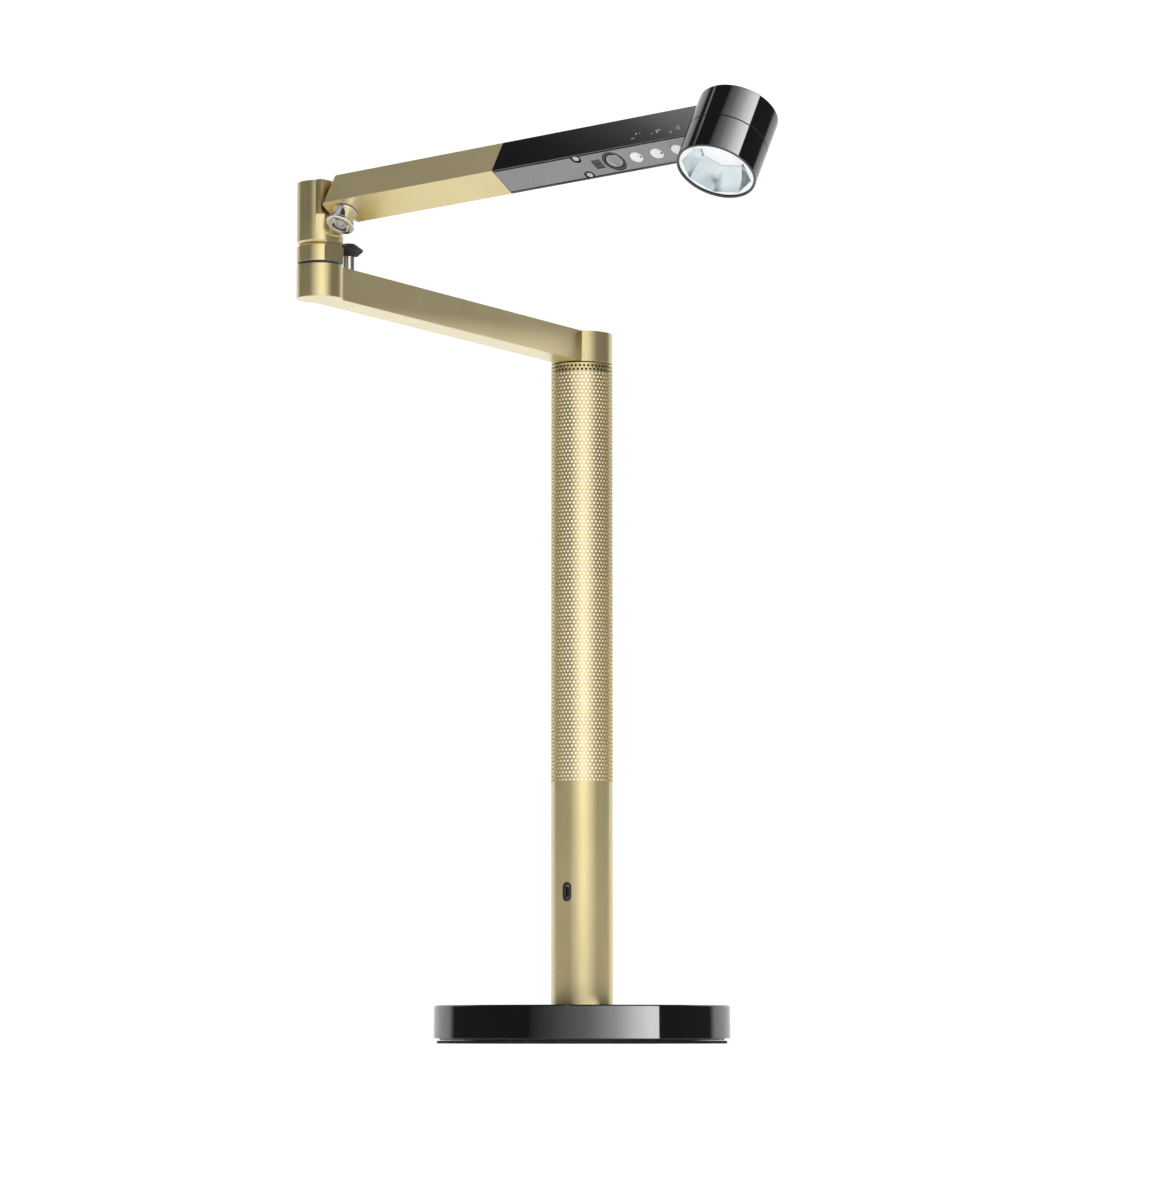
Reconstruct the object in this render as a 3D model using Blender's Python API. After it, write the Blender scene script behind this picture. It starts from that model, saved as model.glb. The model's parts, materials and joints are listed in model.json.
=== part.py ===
"""Articulated desk lamp: weighted base, perforated pole, two swinging arms and a rolling lamp head.

Metres, +Z up. The origin is the middle of the base's underside, on the pole's axis.
The lower arm swings about the pole, the elbow swings about the lower arm's far end,
and the upper arm rolls about its own length, carrying the lamp head and three buttons.
"""
import bpy
import bmesh
from math import asin, cos, pi, radians, sin, sqrt
from mathutils import Matrix, Vector

# ---------------------------------------------------------------- driving dimensions
GAP = 0.0003                      # air between pieces that touch on the real lamp
ROUND = 40                        # sides of the large turned pieces
SMALL_ROUND = 24                  # sides of the small turned pieces

BASE_RADIUS = 0.1095
BASE_DRAFT = 0.0003               # how much narrower the base is at its top
BASE_TOP = 0.0279
BASE_WALL = 0.0025
PAD_RADIUS = 0.1070
PAD_THICK = 0.0020
SHELL_BOTTOM = 0.0036

POLE_RADIUS = 0.02284
POLE_WALL = 0.0012
POLE_TOP = 0.5036
LIGHT_BOTTOM = 0.1920             # the lit, perforated part of the pole starts here
CORE_RADIUS = 0.0110
CORE_TOP = 0.4955
GUIDE_TOP = 0.4970                # the light guide stops just under the plug
PLUG_TOP = 0.5030

ARM_REACH = 0.3535                # pole axis to elbow axis, and elbow axis to head axis
LOWER_ARM_HEADING = radians(180 + 59.65)
LOWER_ARM_SIZE = 0.0228           # square section
LOWER_ARM_BOTTOM = 0.5041
LOWER_ARM_TOP = LOWER_ARM_BOTTOM + LOWER_ARM_SIZE + 0.0001

ELBOW_RADIUS = 0.01584
ELBOW_FLAT = 0.01306              # flat on the elbow, square to the upper arm
COLLAR_BOTTOM = 0.5286
COLLAR_TOP = 0.5408
POST_BOTTOM = 0.5413
POST_TOP = 0.5837
BOSS_BOTTOM = 0.5601
BOSS_HALF_WIDTH = 0.0135

UPPER_ARM_HEADING = radians(-39.28)
UPPER_ARM_RISE = radians(1.37)
UPPER_ARM_ROLL = radians(30.61)
UPPER_ARM_AXIS_HEIGHT = 0.5700
UPPER_ARM_HALF = 0.01205          # half of the square section
UPPER_ARM_START = 0.0148
BRASS_END = 0.1670
ARM_WALL = 0.0015

PLATE_HALF_WIDTH = 0.0100
PLATE_FACE = -0.0119
PLATE_BACK = -0.01105
LEDGE = -0.0107                   # the housing's ledge that the plate rests against
SCREW_X = 0.2355
SCREW_Y = 0.0083
WINDOW_X = 0.2484
LENS_X = 0.2617
BUTTON_X = 0.2801
BUTTON_PITCH = 0.0167
BUTTON_RADIUS = 0.0047
BUTTON_NAMES = ("button_dimmer", "button_presence", "button_tone")

HEAD_RADIUS = 0.02616
HEAD_WALL = 0.0015
HEAD_TOP = 0.0120
HEAD_SPLIT = -0.0128
HEAD_FACE = -0.0378

KNOB_X = 0.0290
KNOB_TIP = -0.0242
STUD_FROM_ELBOW = 0.0358
PORT_HEADING = radians(-90 - 29.3)
PORT_HEIGHT = 0.111

# ---------------------------------------------------------------- finishes
FINISHES = {
    "brass": ((0.62, 0.52, 0.28), 0.38, 1.0),
    "gloss_black": ((0.012, 0.012, 0.013), 0.08, 0.0),
    "rubber": ((0.02, 0.02, 0.02), 0.8, 0.0),
    "steel": ((0.55, 0.55, 0.56), 0.4, 1.0),
    "chrome": ((0.85, 0.85, 0.87), 0.08, 1.0),
    "cast_iron": ((0.12, 0.12, 0.12), 0.7, 1.0),
    "aluminium": ((0.7, 0.7, 0.72), 0.35, 1.0),
    "copper": ((0.75, 0.35, 0.2), 0.3, 1.0),
    "diffuser": ((0.85, 0.84, 0.78), 0.5, 0.0),
    "board": ((0.02, 0.1, 0.05), 0.5, 0.0),
    "satin_grey": ((0.32, 0.32, 0.33), 0.3, 0.6),
    "matt_black": ((0.03, 0.03, 0.03), 0.5, 0.0),
    "lens": ((0.4, 0.42, 0.45), 0.05, 0.0),
    "button": ((0.75, 0.75, 0.76), 0.4, 0.0),
    "reflector": ((0.85, 0.87, 0.88), 0.15, 1.0),
    "led": ((0.9, 0.85, 0.5), 0.4, 0.0),
}


def finish(name):
    """The material of one finish, made once."""
    made = bpy.data.materials.get(name)
    if made:
        return made
    colour, roughness, metallic = FINISHES[name]
    made = bpy.data.materials.new(name)
    made.use_nodes = True
    shader = made.node_tree.nodes["Principled BSDF"]
    shader.inputs["Base Color"].default_value = (*colour, 1)
    shader.inputs["Roughness"].default_value = roughness
    shader.inputs["Metallic"].default_value = metallic
    return made


# ---------------------------------------------------------------- modelling helpers
def empty_scene():
    for thing in list(bpy.data.objects):
        bpy.data.objects.remove(thing)


def frame(name, place):
    """An empty that holds the pieces of one moving group."""
    axes = bpy.data.objects.new(name, None)
    bpy.context.scene.collection.objects.link(axes)
    axes.matrix_world = place
    return axes


def add_object(name, work, look, parent=None):
    """Put a finished bmesh into the scene as one named piece."""
    bmesh.ops.recalc_face_normals(work, faces=work.faces)
    mesh = bpy.data.meshes.new(name)
    work.to_mesh(mesh)
    work.free()
    piece = bpy.data.objects.new(name, mesh)
    bpy.context.scene.collection.objects.link(piece)
    if look:
        mesh.materials.append(finish(look))
    if parent:
        piece.parent = parent
    mesh.shade_smooth()
    mesh.set_sharp_from_angle(angle=radians(35))
    return piece


def turned(name, outline, look, parent=None, sides=SMALL_ROUND, at=(0, 0, 0), along="Z"):
    """Turn (radius, height) points about an axis; an outline that starts and ends at radius 0 is a solid."""
    work = bmesh.new()
    points = [work.verts.new((radius, 0, height)) for radius, height in outline]
    pairs = list(zip(points, points[1:]))
    if outline[0][0] > 0:
        pairs.append((points[-1], points[0]))
    edges = [work.edges.new(pair) for pair in pairs]
    bmesh.ops.spin(work, geom=points + edges, cent=(0, 0, 0), axis=(0, 0, 1), angle=2 * pi, steps=sides)
    bmesh.ops.remove_doubles(work, verts=work.verts, dist=0.000001)
    if along == "X":
        bmesh.ops.rotate(work, verts=work.verts, cent=(0, 0, 0), matrix=Matrix.Rotation(pi / 2, 3, "Y"))
    bmesh.ops.translate(work, verts=work.verts, vec=at)
    return add_object(name, work, look, parent)


def rod(name, radius, low, high, look, parent=None, sides=SMALL_ROUND, at=(0, 0, 0), along="Z"):
    outline = [(0, low), (radius, low), (radius, high), (0, high)]
    return turned(name, outline, look, parent, sides, at, along)


def ring(name, inner, outer, low, high, look, parent=None, sides=SMALL_ROUND, at=(0, 0, 0), along="Z"):
    outline = [(inner, low), (outer, low), (outer, high), (inner, high)]
    return turned(name, outline, look, parent, sides, at, along)


def prism(name, outline, low, high, look, parent=None):
    """Extrude a flat outline of (x, y) points from one height to another."""
    work = bmesh.new()
    face = work.faces.new([work.verts.new((x, y, low)) for x, y in outline])
    grown = bmesh.ops.extrude_face_region(work, geom=[face])
    lifted = [part for part in grown["geom"] if isinstance(part, bmesh.types.BMVert)]
    bmesh.ops.translate(work, verts=lifted, vec=(0, 0, high - low))
    return add_object(name, work, look, parent)


def block(name, low, high, look, parent=None):
    """A box between two corners."""
    outline = [(low[0], low[1]), (high[0], low[1]), (high[0], high[1]), (low[0], high[1])]
    return prism(name, outline, low[2], high[2], look, parent)


def arc(centre, radius, start, end, steps):
    """Points on an arc from one angle to another, both ends included."""
    turns = [start + (end - start) * step / steps for step in range(steps + 1)]
    return [(centre[0] + radius * cos(turn), centre[1] + radius * sin(turn)) for turn in turns]


def oval(centre, half_x, half_y, steps=SMALL_ROUND):
    turns = [2 * pi * step / steps for step in range(steps)]
    return [(centre[0] + half_x * cos(turn), centre[1] + half_y * sin(turn)) for turn in turns]


def stadium(half_width, half_height, steps=8):
    """An upright slot outline with round ends."""
    rise = half_height - half_width
    return arc((0, rise), half_width, 0, pi, steps) + arc((0, -rise), half_width, pi, 2 * pi, steps)


def cut(piece, cutter):
    """Cut one piece with another, which stays as a hidden guide."""
    cutter.hide_render = True
    cutter.display_type = "WIRE"
    step = piece.modifiers.new("cut_" + cutter.name, "BOOLEAN")
    step.operation = "DIFFERENCE"
    step.object = cutter


def join(piece, other):
    """Weld a hidden guide's solid onto a piece."""
    other.hide_render = True
    other.display_type = "WIRE"
    step = piece.modifiers.new("join_" + other.name, "BOOLEAN")
    step.operation = "UNION"
    step.object = other


# ---------------------------------------------------------------- base and pole (fixed)
def make_base():
    chamfer = 0.0008
    turned("base_pad", [(0, 0), (PAD_RADIUS - chamfer, 0), (PAD_RADIUS, chamfer), (PAD_RADIUS, PAD_THICK),
                        (0, PAD_THICK)], "rubber", sides=ROUND)
    plate_top = SHELL_BOTTOM + 0.0002
    plate = rod("base_plate", PAD_RADIUS - 0.0020, PAD_THICK + GAP, plate_top, "matt_black", sides=ROUND)

    edge = 0.0009
    top_radius = BASE_RADIUS - BASE_DRAFT
    inner = BASE_RADIUS - BASE_WALL
    shell = turned("base_shell", [
        (inner, SHELL_BOTTOM), (BASE_RADIUS, SHELL_BOTTOM), (top_radius, BASE_TOP - edge),
        (top_radius - edge, BASE_TOP), (0.0150, BASE_TOP), (0.0150, BASE_TOP - BASE_WALL),
        (inner - BASE_DRAFT, BASE_TOP - BASE_WALL)], "gloss_black", sides=ROUND)

    weight_top = 0.0195
    weight = ring("base_weight", 0.0300, 0.1030, plate_top + GAP, weight_top, "cast_iron", sides=ROUND)
    ring("driver_board", 0.0350, 0.0950, weight_top + 0.0010, weight_top + 0.0026, "board")

    ring("pole_hub", CORE_RADIUS + GAP, 0.0280, plate_top + GAP, 0.0170, "steel", sides=32)
    nut_low, nut_high = 0.0170 + GAP, 0.0205
    nut = prism("pole_nut", arc((0, 0), 0.0155, 0, radians(300), 5), nut_low, nut_high, "steel")
    cut(nut, rod("nut_bore", CORE_RADIUS + GAP, 0, 0.0300, None))

    socket_half = 0.0060
    inlet_low, inlet_high = 0.0080, 0.0165
    socket_front = BASE_RADIUS - 0.0012
    mouth = block("inlet_mouth", (-socket_half - GAP, 0.0900, inlet_low - GAP),
                  (socket_half + GAP, 0.1200, inlet_high + GAP), None)
    cut(shell, mouth)
    cut(weight, mouth)
    inlet = block("power_inlet", (-socket_half, 0.0935, inlet_low), (socket_half, socket_front, inlet_high),
                  "matt_black")
    inlet_floor = 0.1000
    inlet_axis = (Matrix.Translation((0, inlet_floor, (inlet_low + inlet_high) / 2))
                  @ Matrix.Rotation(-pi / 2, 4, "X"))
    bore = rod("inlet_bore", 0.0029, 0, 0.0110, None)
    bore.matrix_world = inlet_axis
    cut(inlet, bore)
    pin = rod("inlet_pin", 0.0010, 0, 0.0065, "brass", sides=12)
    pin.matrix_world = inlet_axis @ Matrix.Translation((0, 0, GAP))

    screw_ring = 0.0650
    for number in range(3):
        turn = radians(30 + 120 * number)
        spot = (screw_ring * cos(turn), screw_ring * sin(turn), 0)
        hole = rod(f"plate_hole_{number}", 0.0034, 0, 0.0060, None, at=spot)
        cut(plate, hole)
        pilot = rod(f"weight_hole_{number}", 0.0019, 0, 0.0120, None, at=spot)
        cut(weight, pilot)
        head = PAD_THICK + GAP
        turned(f"plate_screw_{number + 1}", [(0, head), (0.0030, head), (0.0030, head + 0.0010),
                                             (0.0015, head + 0.0016), (0.0015, 0.0110), (0, 0.0110)],
               "steel", sides=16, at=spot)


def make_pole():
    inside = POLE_RADIUS - POLE_WALL
    tube = ring("pole_tube", inside, POLE_RADIUS, BASE_TOP + GAP, POLE_TOP, "brass", sides=64)
    ring("pole_core", CORE_RADIUS - 0.0018, CORE_RADIUS, 0.0060, CORE_TOP, "steel")
    guide_radius = inside - 0.0011
    ring("light_guide", guide_radius - 0.0010, guide_radius, LIGHT_BOTTOM, GUIDE_TOP, "diffuser", sides=ROUND)
    board_low = LIGHT_BOTTOM - 0.0026
    ring("pole_light_board", CORE_RADIUS + GAP, guide_radius, board_low, board_low + 0.0016, "board", sides=32)
    ring("pole_plug", 0.0075, inside - GAP, GUIDE_TOP + GAP, PLUG_TOP, "aluminium", sides=ROUND)

    on_wall = Matrix.Rotation(PORT_HEADING, 4, "Z") @ Matrix.Translation((POLE_RADIUS, 0, PORT_HEIGHT))
    port = frame("port_frame", on_wall @ Matrix.Rotation(pi / 2, 4, "Y") @ Matrix.Rotation(pi / 2, 4, "Z"))
    opening = prism("port_opening", stadium(0.00365, 0.00715), -0.0040, 0.0040, None, port)
    cut(tube, opening)
    bezel = prism("port_bezel", stadium(0.00335, 0.00685), -0.0032, -0.0007, "matt_black", port)
    throat = prism("port_throat", stadium(0.00235, 0.0053), -0.0045, 0.0040, None, port)
    cut(bezel, throat)
    shell = prism("port_shell", stadium(0.00205, 0.0050), -0.0075, -0.0011, "chrome", port)
    slot = prism("port_slot", stadium(0.00160, 0.00455), -0.0065, 0.0040, None, port)
    cut(shell, slot)
    block("port_tongue", (-0.00035, -0.0033, -0.0062), (0.00035, 0.0033, -0.0018), "matt_black", port)


# ---------------------------------------------------------------- lower arm (swings about the pole)
def make_lower_arm(arm):
    half = LOWER_ARM_SIZE / 2
    cap_turn = asin(half / POLE_RADIUS)
    barrel_turn = asin(half / ELBOW_RADIUS)
    outline = arc((0, 0), POLE_RADIUS, cap_turn, 2 * pi - cap_turn, 40)
    outline += arc((ARM_REACH, 0), ELBOW_RADIUS, -pi + barrel_turn, pi - barrel_turn, 32)
    beam = prism("lower_arm_beam", outline, LOWER_ARM_BOTTOM, LOWER_ARM_TOP, "brass", arm)

    start, end = 0.0290, ARM_REACH - 0.0520
    lip = 0.0016
    cover_low = LOWER_ARM_TOP - 0.0015
    seat = block("cover_seat", (start, -half + lip, cover_low - GAP), (end, half - lip, 0.56), None, arm)
    trough = block("wire_trough", (start + 0.004, -half + 2 * lip, LOWER_ARM_BOTTOM + 0.0018),
                   (end - 0.004, half - 2 * lip, 0.56), None, arm)
    axle_hole = rod("axle_hole", 0.0073, 0.4900, 0.5105, None, arm)
    spindle_hole = rod("spindle_hole", 0.0066, 0.5068, 0.5600, None, arm, at=(ARM_REACH, 0, 0))
    window_seat = rod("window_seat", 0.0150, LOWER_ARM_TOP - 0.0018, 0.5600, None, arm, sides=32)
    for cutter in (seat, trough, axle_hole, spindle_hole, window_seat):
        cut(beam, cutter)
    block("lower_arm_cover", (start + GAP, -half + lip + GAP, cover_low),
          (end - GAP, half - lip - GAP, LOWER_ARM_TOP), "brass", arm)
    rod("dock_window", 0.0147, LOWER_ARM_TOP - 0.0015, LOWER_ARM_TOP - 0.0001, "gloss_black", arm, sides=32)
    block("arm_harness", (start + 0.006, -0.0030, LOWER_ARM_BOTTOM + 0.0021),
          (end - 0.006, 0.0030, LOWER_ARM_BOTTOM + 0.0045), "matt_black", arm)

    axle_low, axle_high = 0.4700, 0.5102
    turned("swing_axle", [(0, axle_low), (0.0060, axle_low), (0.0070, axle_low + 0.0010), (0.0070, axle_high),
                          (0, axle_high)], "steel", arm)
    ring("swing_washer", 0.0080, 0.0205, 0.5033, 0.5038, "matt_black", arm, sides=32)
    ring("swing_circlip", 0.0073, 0.0088, 0.4935, 0.4947, "steel", arm)
    ring("elbow_washer", 0.0070, 0.0150, LOWER_ARM_TOP + GAP, COLLAR_BOTTOM - GAP, "matt_black", arm,
         at=(ARM_REACH, 0, 0))

    stud_x = ARM_REACH - STUD_FROM_ELBOW
    stud_low = LOWER_ARM_TOP + GAP
    stud_high = 0.5388
    rod("stop_stud", 0.0040, stud_low, stud_high, "chrome", arm, at=(stud_x, 0, 0))
    cap_low, cap_waist, cap_high = stud_high + GAP, 0.5427, 0.5474
    turned("stop_cap", [(0, cap_low), (0.0065, cap_low), (0.0104, cap_waist), (0.0043, cap_high), (0, cap_high)],
           "matt_black", arm, sides=10, at=(stud_x, 0, 0))


# ---------------------------------------------------------------- elbow (swings about the lower arm's end)
def make_elbow(elbow, upper):
    groove = 0.0015
    collar = turned("elbow_collar", [
        (0.0063, COLLAR_BOTTOM), (ELBOW_RADIUS, COLLAR_BOTTOM), (ELBOW_RADIUS, COLLAR_TOP - groove),
        (ELBOW_RADIUS - groove, COLLAR_TOP), (0.0063, COLLAR_TOP)], "brass", elbow, sides=ROUND)
    post = turned("elbow_post", [
        (0, POST_BOTTOM), (ELBOW_RADIUS - groove, POST_BOTTOM), (ELBOW_RADIUS, POST_BOTTOM + groove),
        (ELBOW_RADIUS, POST_TOP), (0, POST_TOP)], "brass", elbow, sides=ROUND)
    reach = 0.0300
    low_flat = block("low_flat", (ELBOW_FLAT, -reach, 0.5000), (reach, reach, 0.5464), None, elbow)
    high_flat = block("high_flat", (ELBOW_FLAT, -reach, BOSS_BOTTOM), (reach, reach, 0.6000), None, elbow)
    boss = block("boss_block", (0, -BOSS_HALF_WIDTH, BOSS_BOTTOM), (ELBOW_FLAT, BOSS_HALF_WIDTH, POST_TOP), None,
                 elbow)
    corner_sweep = UPPER_ARM_HALF * sqrt(2) + 0.0008
    sweep = rod("roll_sweep", corner_sweep, ELBOW_FLAT, reach, None, elbow, sides=ROUND,
                at=(0, 0, UPPER_ARM_AXIS_HEIGHT), along="X")
    stem_hole = rod("stem_hole", 0.0063, 0.5300, 0.5512, None, elbow)
    roll_hole = rod("roll_hole", 0.0050, 0.0005, 0.0300, None, upper, along="X")
    cut(collar, low_flat)
    cut(post, low_flat)
    cut(post, high_flat)
    cut(post, sweep)
    join(post, boss)
    cut(post, stem_hole)
    cut(post, roll_hole)
    rod("elbow_spindle", 0.0060, 0.5072, 0.5508, "steel", elbow)


# ---------------------------------------------------------------- upper arm (rolls about its own length)
def head_arc(radius, half_width, steps=10):
    """The end of a flat piece that stops just short of the round head."""
    turn = asin(half_width / radius)
    return arc((ARM_REACH, 0), radius, pi + turn, pi - turn, steps)


def make_upper_arm(arm):
    half = UPPER_ARM_HALF
    corner = 0.0045
    relief_depth, relief_end = 0.0046, 0.0297
    outline = arc((UPPER_ARM_START + corner, -half + corner), corner, pi, 1.5 * pi, 6)
    outline += [(BRASS_END, -half), (BRASS_END, half), (relief_end, half), (relief_end, half - relief_depth)]
    outline += arc((UPPER_ARM_START + corner, half - relief_depth - corner), corner, 0.5 * pi, pi, 6)
    tube = prism("upper_arm_tube", outline, -half, half, "brass", arm)
    inside = half - ARM_WALL
    hollow = block("arm_hollow", (0.0450, -inside, -inside), (0.2000, inside, inside), None, arm)
    spindle_bore = rod("spindle_bore", 0.0048, 0.0100, 0.0405, None, arm, along="X")
    bolt_bore = rod("bolt_bore", 0.0033, -0.0200, -0.0056, None, arm, at=(KNOB_X, 0, 0))
    for cutter in (hollow, spindle_bore, bolt_bore):
        cut(tube, cutter)
    rod("roll_spindle", 0.0045, 0.0009, 0.0400, "steel", arm, along="X")
    ring("roll_washer", 0.0049, 0.0085, 0.0137, UPPER_ARM_START - GAP, "matt_black", arm, along="X")

    base = -half - GAP
    turned("clamp_knob", [
        (0.0024, base), (0.0086, base), (0.0083, base - 0.0012), (0.0083, KNOB_TIP + 0.0030),
        (0.0098, KNOB_TIP + 0.0018), (0.0098, KNOB_TIP + 0.0005), (0.0092, KNOB_TIP), (0.0070, KNOB_TIP),
        (0.0064, KNOB_TIP + 0.0030),
        (0.0024, KNOB_TIP + 0.0030)][::-1], "chrome", arm, sides=32, at=(KNOB_X, 0, 0))
    bolt_end, under_head, bolt_head = -0.0060, KNOB_TIP + 0.0027, KNOB_TIP + 0.0006
    turned("clamp_bolt", [(0, bolt_end), (0.0021, bolt_end), (0.0021, under_head), (0.0046, under_head),
                          (0.0046, bolt_head), (0, bolt_head)], "steel", arm, at=(KNOB_X, 0, 0))


def make_housing(arm):
    half = UPPER_ARM_HALF
    start = BRASS_END + GAP
    outline = [(start, half), (start, -half)] + head_arc(HEAD_RADIUS + GAP, half)
    housing = prism("head_housing", outline, -half, half, "gloss_black", arm)
    recess = block("plate_recess", (0.1600, -PLATE_HALF_WIDTH - GAP, -0.0200),
                   (0.3500, PLATE_HALF_WIDTH + GAP, LEDGE), None, arm)
    cavity = block("housing_cavity", (0.1700, -0.0090, -0.0200), (0.3240, 0.0090, 0.0103), None, arm)
    pipe_hole = rod("pipe_hole", 0.0040, 0.1600, 0.3480, None, arm, at=(0, 0, 0.0045), along="X")
    for cutter in (recess, cavity, pipe_hole):
        cut(housing, cutter)

    plate_outline = [(start, PLATE_HALF_WIDTH), (start, -PLATE_HALF_WIDTH)]
    plate_outline += head_arc(HEAD_RADIUS + GAP, PLATE_HALF_WIDTH)
    plate = prism("control_plate", plate_outline, PLATE_FACE, PLATE_BACK, "satin_grey", arm)
    for side, label in ((-1, "near"), (1, "far")):
        spot = (SCREW_X, side * SCREW_Y, 0)
        cut(plate, rod(f"screw_clearance_{label}", 0.0039, -0.0200, -0.0050, None, arm, at=spot))
        join(housing, rod(f"screw_boss_{label}", 0.0036, -0.0110, 0.0110, None, arm, at=spot))
        cut(housing, rod(f"screw_pilot_{label}", 0.0014, -0.0200, -0.0040, None, arm, at=spot))
        cut(housing, rod(f"screw_seat_{label}", 0.0025, -0.0200, -0.0110, None, arm, at=spot))
        turned(f"plate_screw_{label}", [(0, -0.0118), (0.0021, -0.0118), (0.0021, -0.0113), (0.0011, -0.0113),
                                        (0.0011, -0.0045), (0, -0.0045)], "steel", arm, sides=16, at=spot)
    window_half_x, window_half_y = 0.0035, 0.0042
    cut(plate, block("window_opening", (WINDOW_X - window_half_x, -window_half_y, -0.02),
                     (WINDOW_X + window_half_x, window_half_y, -0.005), None, arm))
    block("sensor_window", (WINDOW_X - window_half_x + GAP, -window_half_y + GAP, -0.0116),
          (WINDOW_X + window_half_x - GAP, window_half_y - GAP, -0.0104), "gloss_black", arm)

    cut(plate, prism("lens_opening", oval((LENS_X, 0), 0.0080, 0.0091), -0.02, -0.005, None, arm))
    dish = prism("sensor_dish", oval((LENS_X, 0), 0.0077, 0.0088), -0.0116, -0.0098, "matt_black", arm)
    cut(dish, rod("dish_opening", 0.0064, -0.02, -0.005, None, arm, at=(LENS_X, 0, 0)))
    lens_radius, lens_back, dome_start, dome_rise = 0.0061, -0.0100, -0.0110, 0.0022
    dome_turns = [radians(15 * step) for step in range(6)]
    dome = [(lens_radius * cos(turn), dome_start - dome_rise * sin(turn)) for turn in dome_turns]
    turned("sensor_lens", [(0, lens_back), (lens_radius, lens_back)] + dome + [(0, dome_start - dome_rise)],
           "lens", arm, at=(LENS_X, 0, 0))

    for number, name in enumerate(BUTTON_NAMES):
        spot = (BUTTON_X + number * BUTTON_PITCH, 0, 0)
        cut(plate, rod(name + "_opening", BUTTON_RADIUS + GAP, -0.02, -0.005, None, arm, at=spot))
        axes = frame(name + "_axis", arm.matrix_world @ Matrix.Translation(spot))
        button = turned(name, [(0, -0.0100), (BUTTON_RADIUS, -0.0100), (BUTTON_RADIUS, -0.0120),
                               (BUTTON_RADIUS - 0.0004, -0.0124), (0, -0.0124)], "button", axes, sides=32)
        notch = rod(name + "_notch", 0.0008, -0.0200, -0.0112, None, axes, sides=12, at=(BUTTON_RADIUS, 0, 0))
        cut(button, notch)

    first, last = BUTTON_X - 0.0060, BUTTON_X + 2 * BUTTON_PITCH + 0.0060
    block("button_mat", (first, -0.0060, -0.0093), (last, 0.0060, -0.0090), "rubber", arm)
    block("control_board", (0.2410, -0.0080, -0.0087), (0.3220, 0.0080, -0.0075), "board", arm)
    rod("heat_pipe", 0.0030, 0.0600, 0.3340, "copper", arm, at=(0, 0, 0.0045), along="X")


def make_head(arm):
    at = (ARM_REACH, 0, 0)
    inside = HEAD_RADIUS - HEAD_WALL
    edge = 0.0006
    upper = turned("head_barrel_upper", [
        (inside, HEAD_SPLIT + GAP), (HEAD_RADIUS, HEAD_SPLIT + GAP), (HEAD_RADIUS, HEAD_TOP - edge),
        (HEAD_RADIUS - edge, HEAD_TOP), (0, HEAD_TOP), (0, HEAD_TOP - HEAD_WALL), (inside, HEAD_TOP - HEAD_WALL)],
        "gloss_black", arm, sides=ROUND, at=at)
    turned("head_barrel_lower", [
        (inside, HEAD_FACE + 0.0006), (inside + 0.0006, HEAD_FACE), (HEAD_RADIUS - edge, HEAD_FACE),
        (HEAD_RADIUS, HEAD_FACE + edge), (HEAD_RADIUS, HEAD_SPLIT - GAP), (inside, HEAD_SPLIT - GAP)],
        "gloss_black", arm, sides=ROUND, at=at)
    joint_half = 0.0032
    ring("head_joint_ring", 0.0228, inside - GAP, HEAD_SPLIT - joint_half, HEAD_SPLIT + joint_half, "matt_black",
         arm, sides=ROUND, at=at)

    fins = []
    for number in range(5):
        low = HEAD_SPLIT + 0.0046 * number
        fins += [(0.0222, low), (0.0222, low + 0.0026), (0.0150, low + 0.0026), (0.0150, low + 0.0046)]
    sink_low = HEAD_SPLIT - 0.0020
    sink_outline = [(0, sink_low), (0.0222, sink_low)] + fins[:-1] + [(0, fins[-2][1])]
    sink = turned("heat_sink", sink_outline, "aluminium", arm, sides=16, at=at)
    pipe_way = rod("pipe_way", 0.0040, 0.3200, 0.3400, None, arm, at=(0, 0, 0.0045), along="X")
    cut(upper, pipe_way)
    cut(sink, pipe_way)

    cup_low, cup_high = HEAD_FACE + 0.0010, HEAD_SPLIT - 0.0045
    cup = rod("reflector", inside - GAP, cup_low, cup_high, "reflector", arm, sides=ROUND, at=at)
    mouth, throat, throat_height = 0.0228, 0.0178, -0.0185
    cone_low = cup_low - 0.0020
    flare = (mouth - throat) / (throat_height - cup_low)
    depth = throat_height - cone_low
    work = bmesh.new()
    bmesh.ops.create_cone(work, segments=8, cap_ends=True, radius1=throat + flare * depth, radius2=throat,
                          depth=depth)
    facet_turn = radians(-6)
    bmesh.ops.rotate(work, verts=work.verts, cent=(0, 0, 0), matrix=Matrix.Rotation(facet_turn, 3, "Z"))
    bmesh.ops.translate(work, verts=work.verts, vec=(ARM_REACH, 0, cone_low + depth / 2))
    cut(cup, add_object("reflector_facets", work, None, arm))
    cut(cup, rod("led_opening", 0.0070, -0.0400, 0, None, arm, at=at))
    diffuser_radius, diffuser_thick = 0.0172, 0.0007
    corners = [facet_turn + pi / 4 * number for number in range(8)]
    outline = [(ARM_REACH + diffuser_radius * cos(turn), diffuser_radius * sin(turn)) for turn in corners]
    diffuser_top = throat_height - GAP
    prism("led_diffuser", outline, diffuser_top - diffuser_thick, diffuser_top, "diffuser", arm)
    rod("led_module", 0.0120, cup_high + GAP, sink_low - GAP, "led", arm, at=at)


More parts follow.
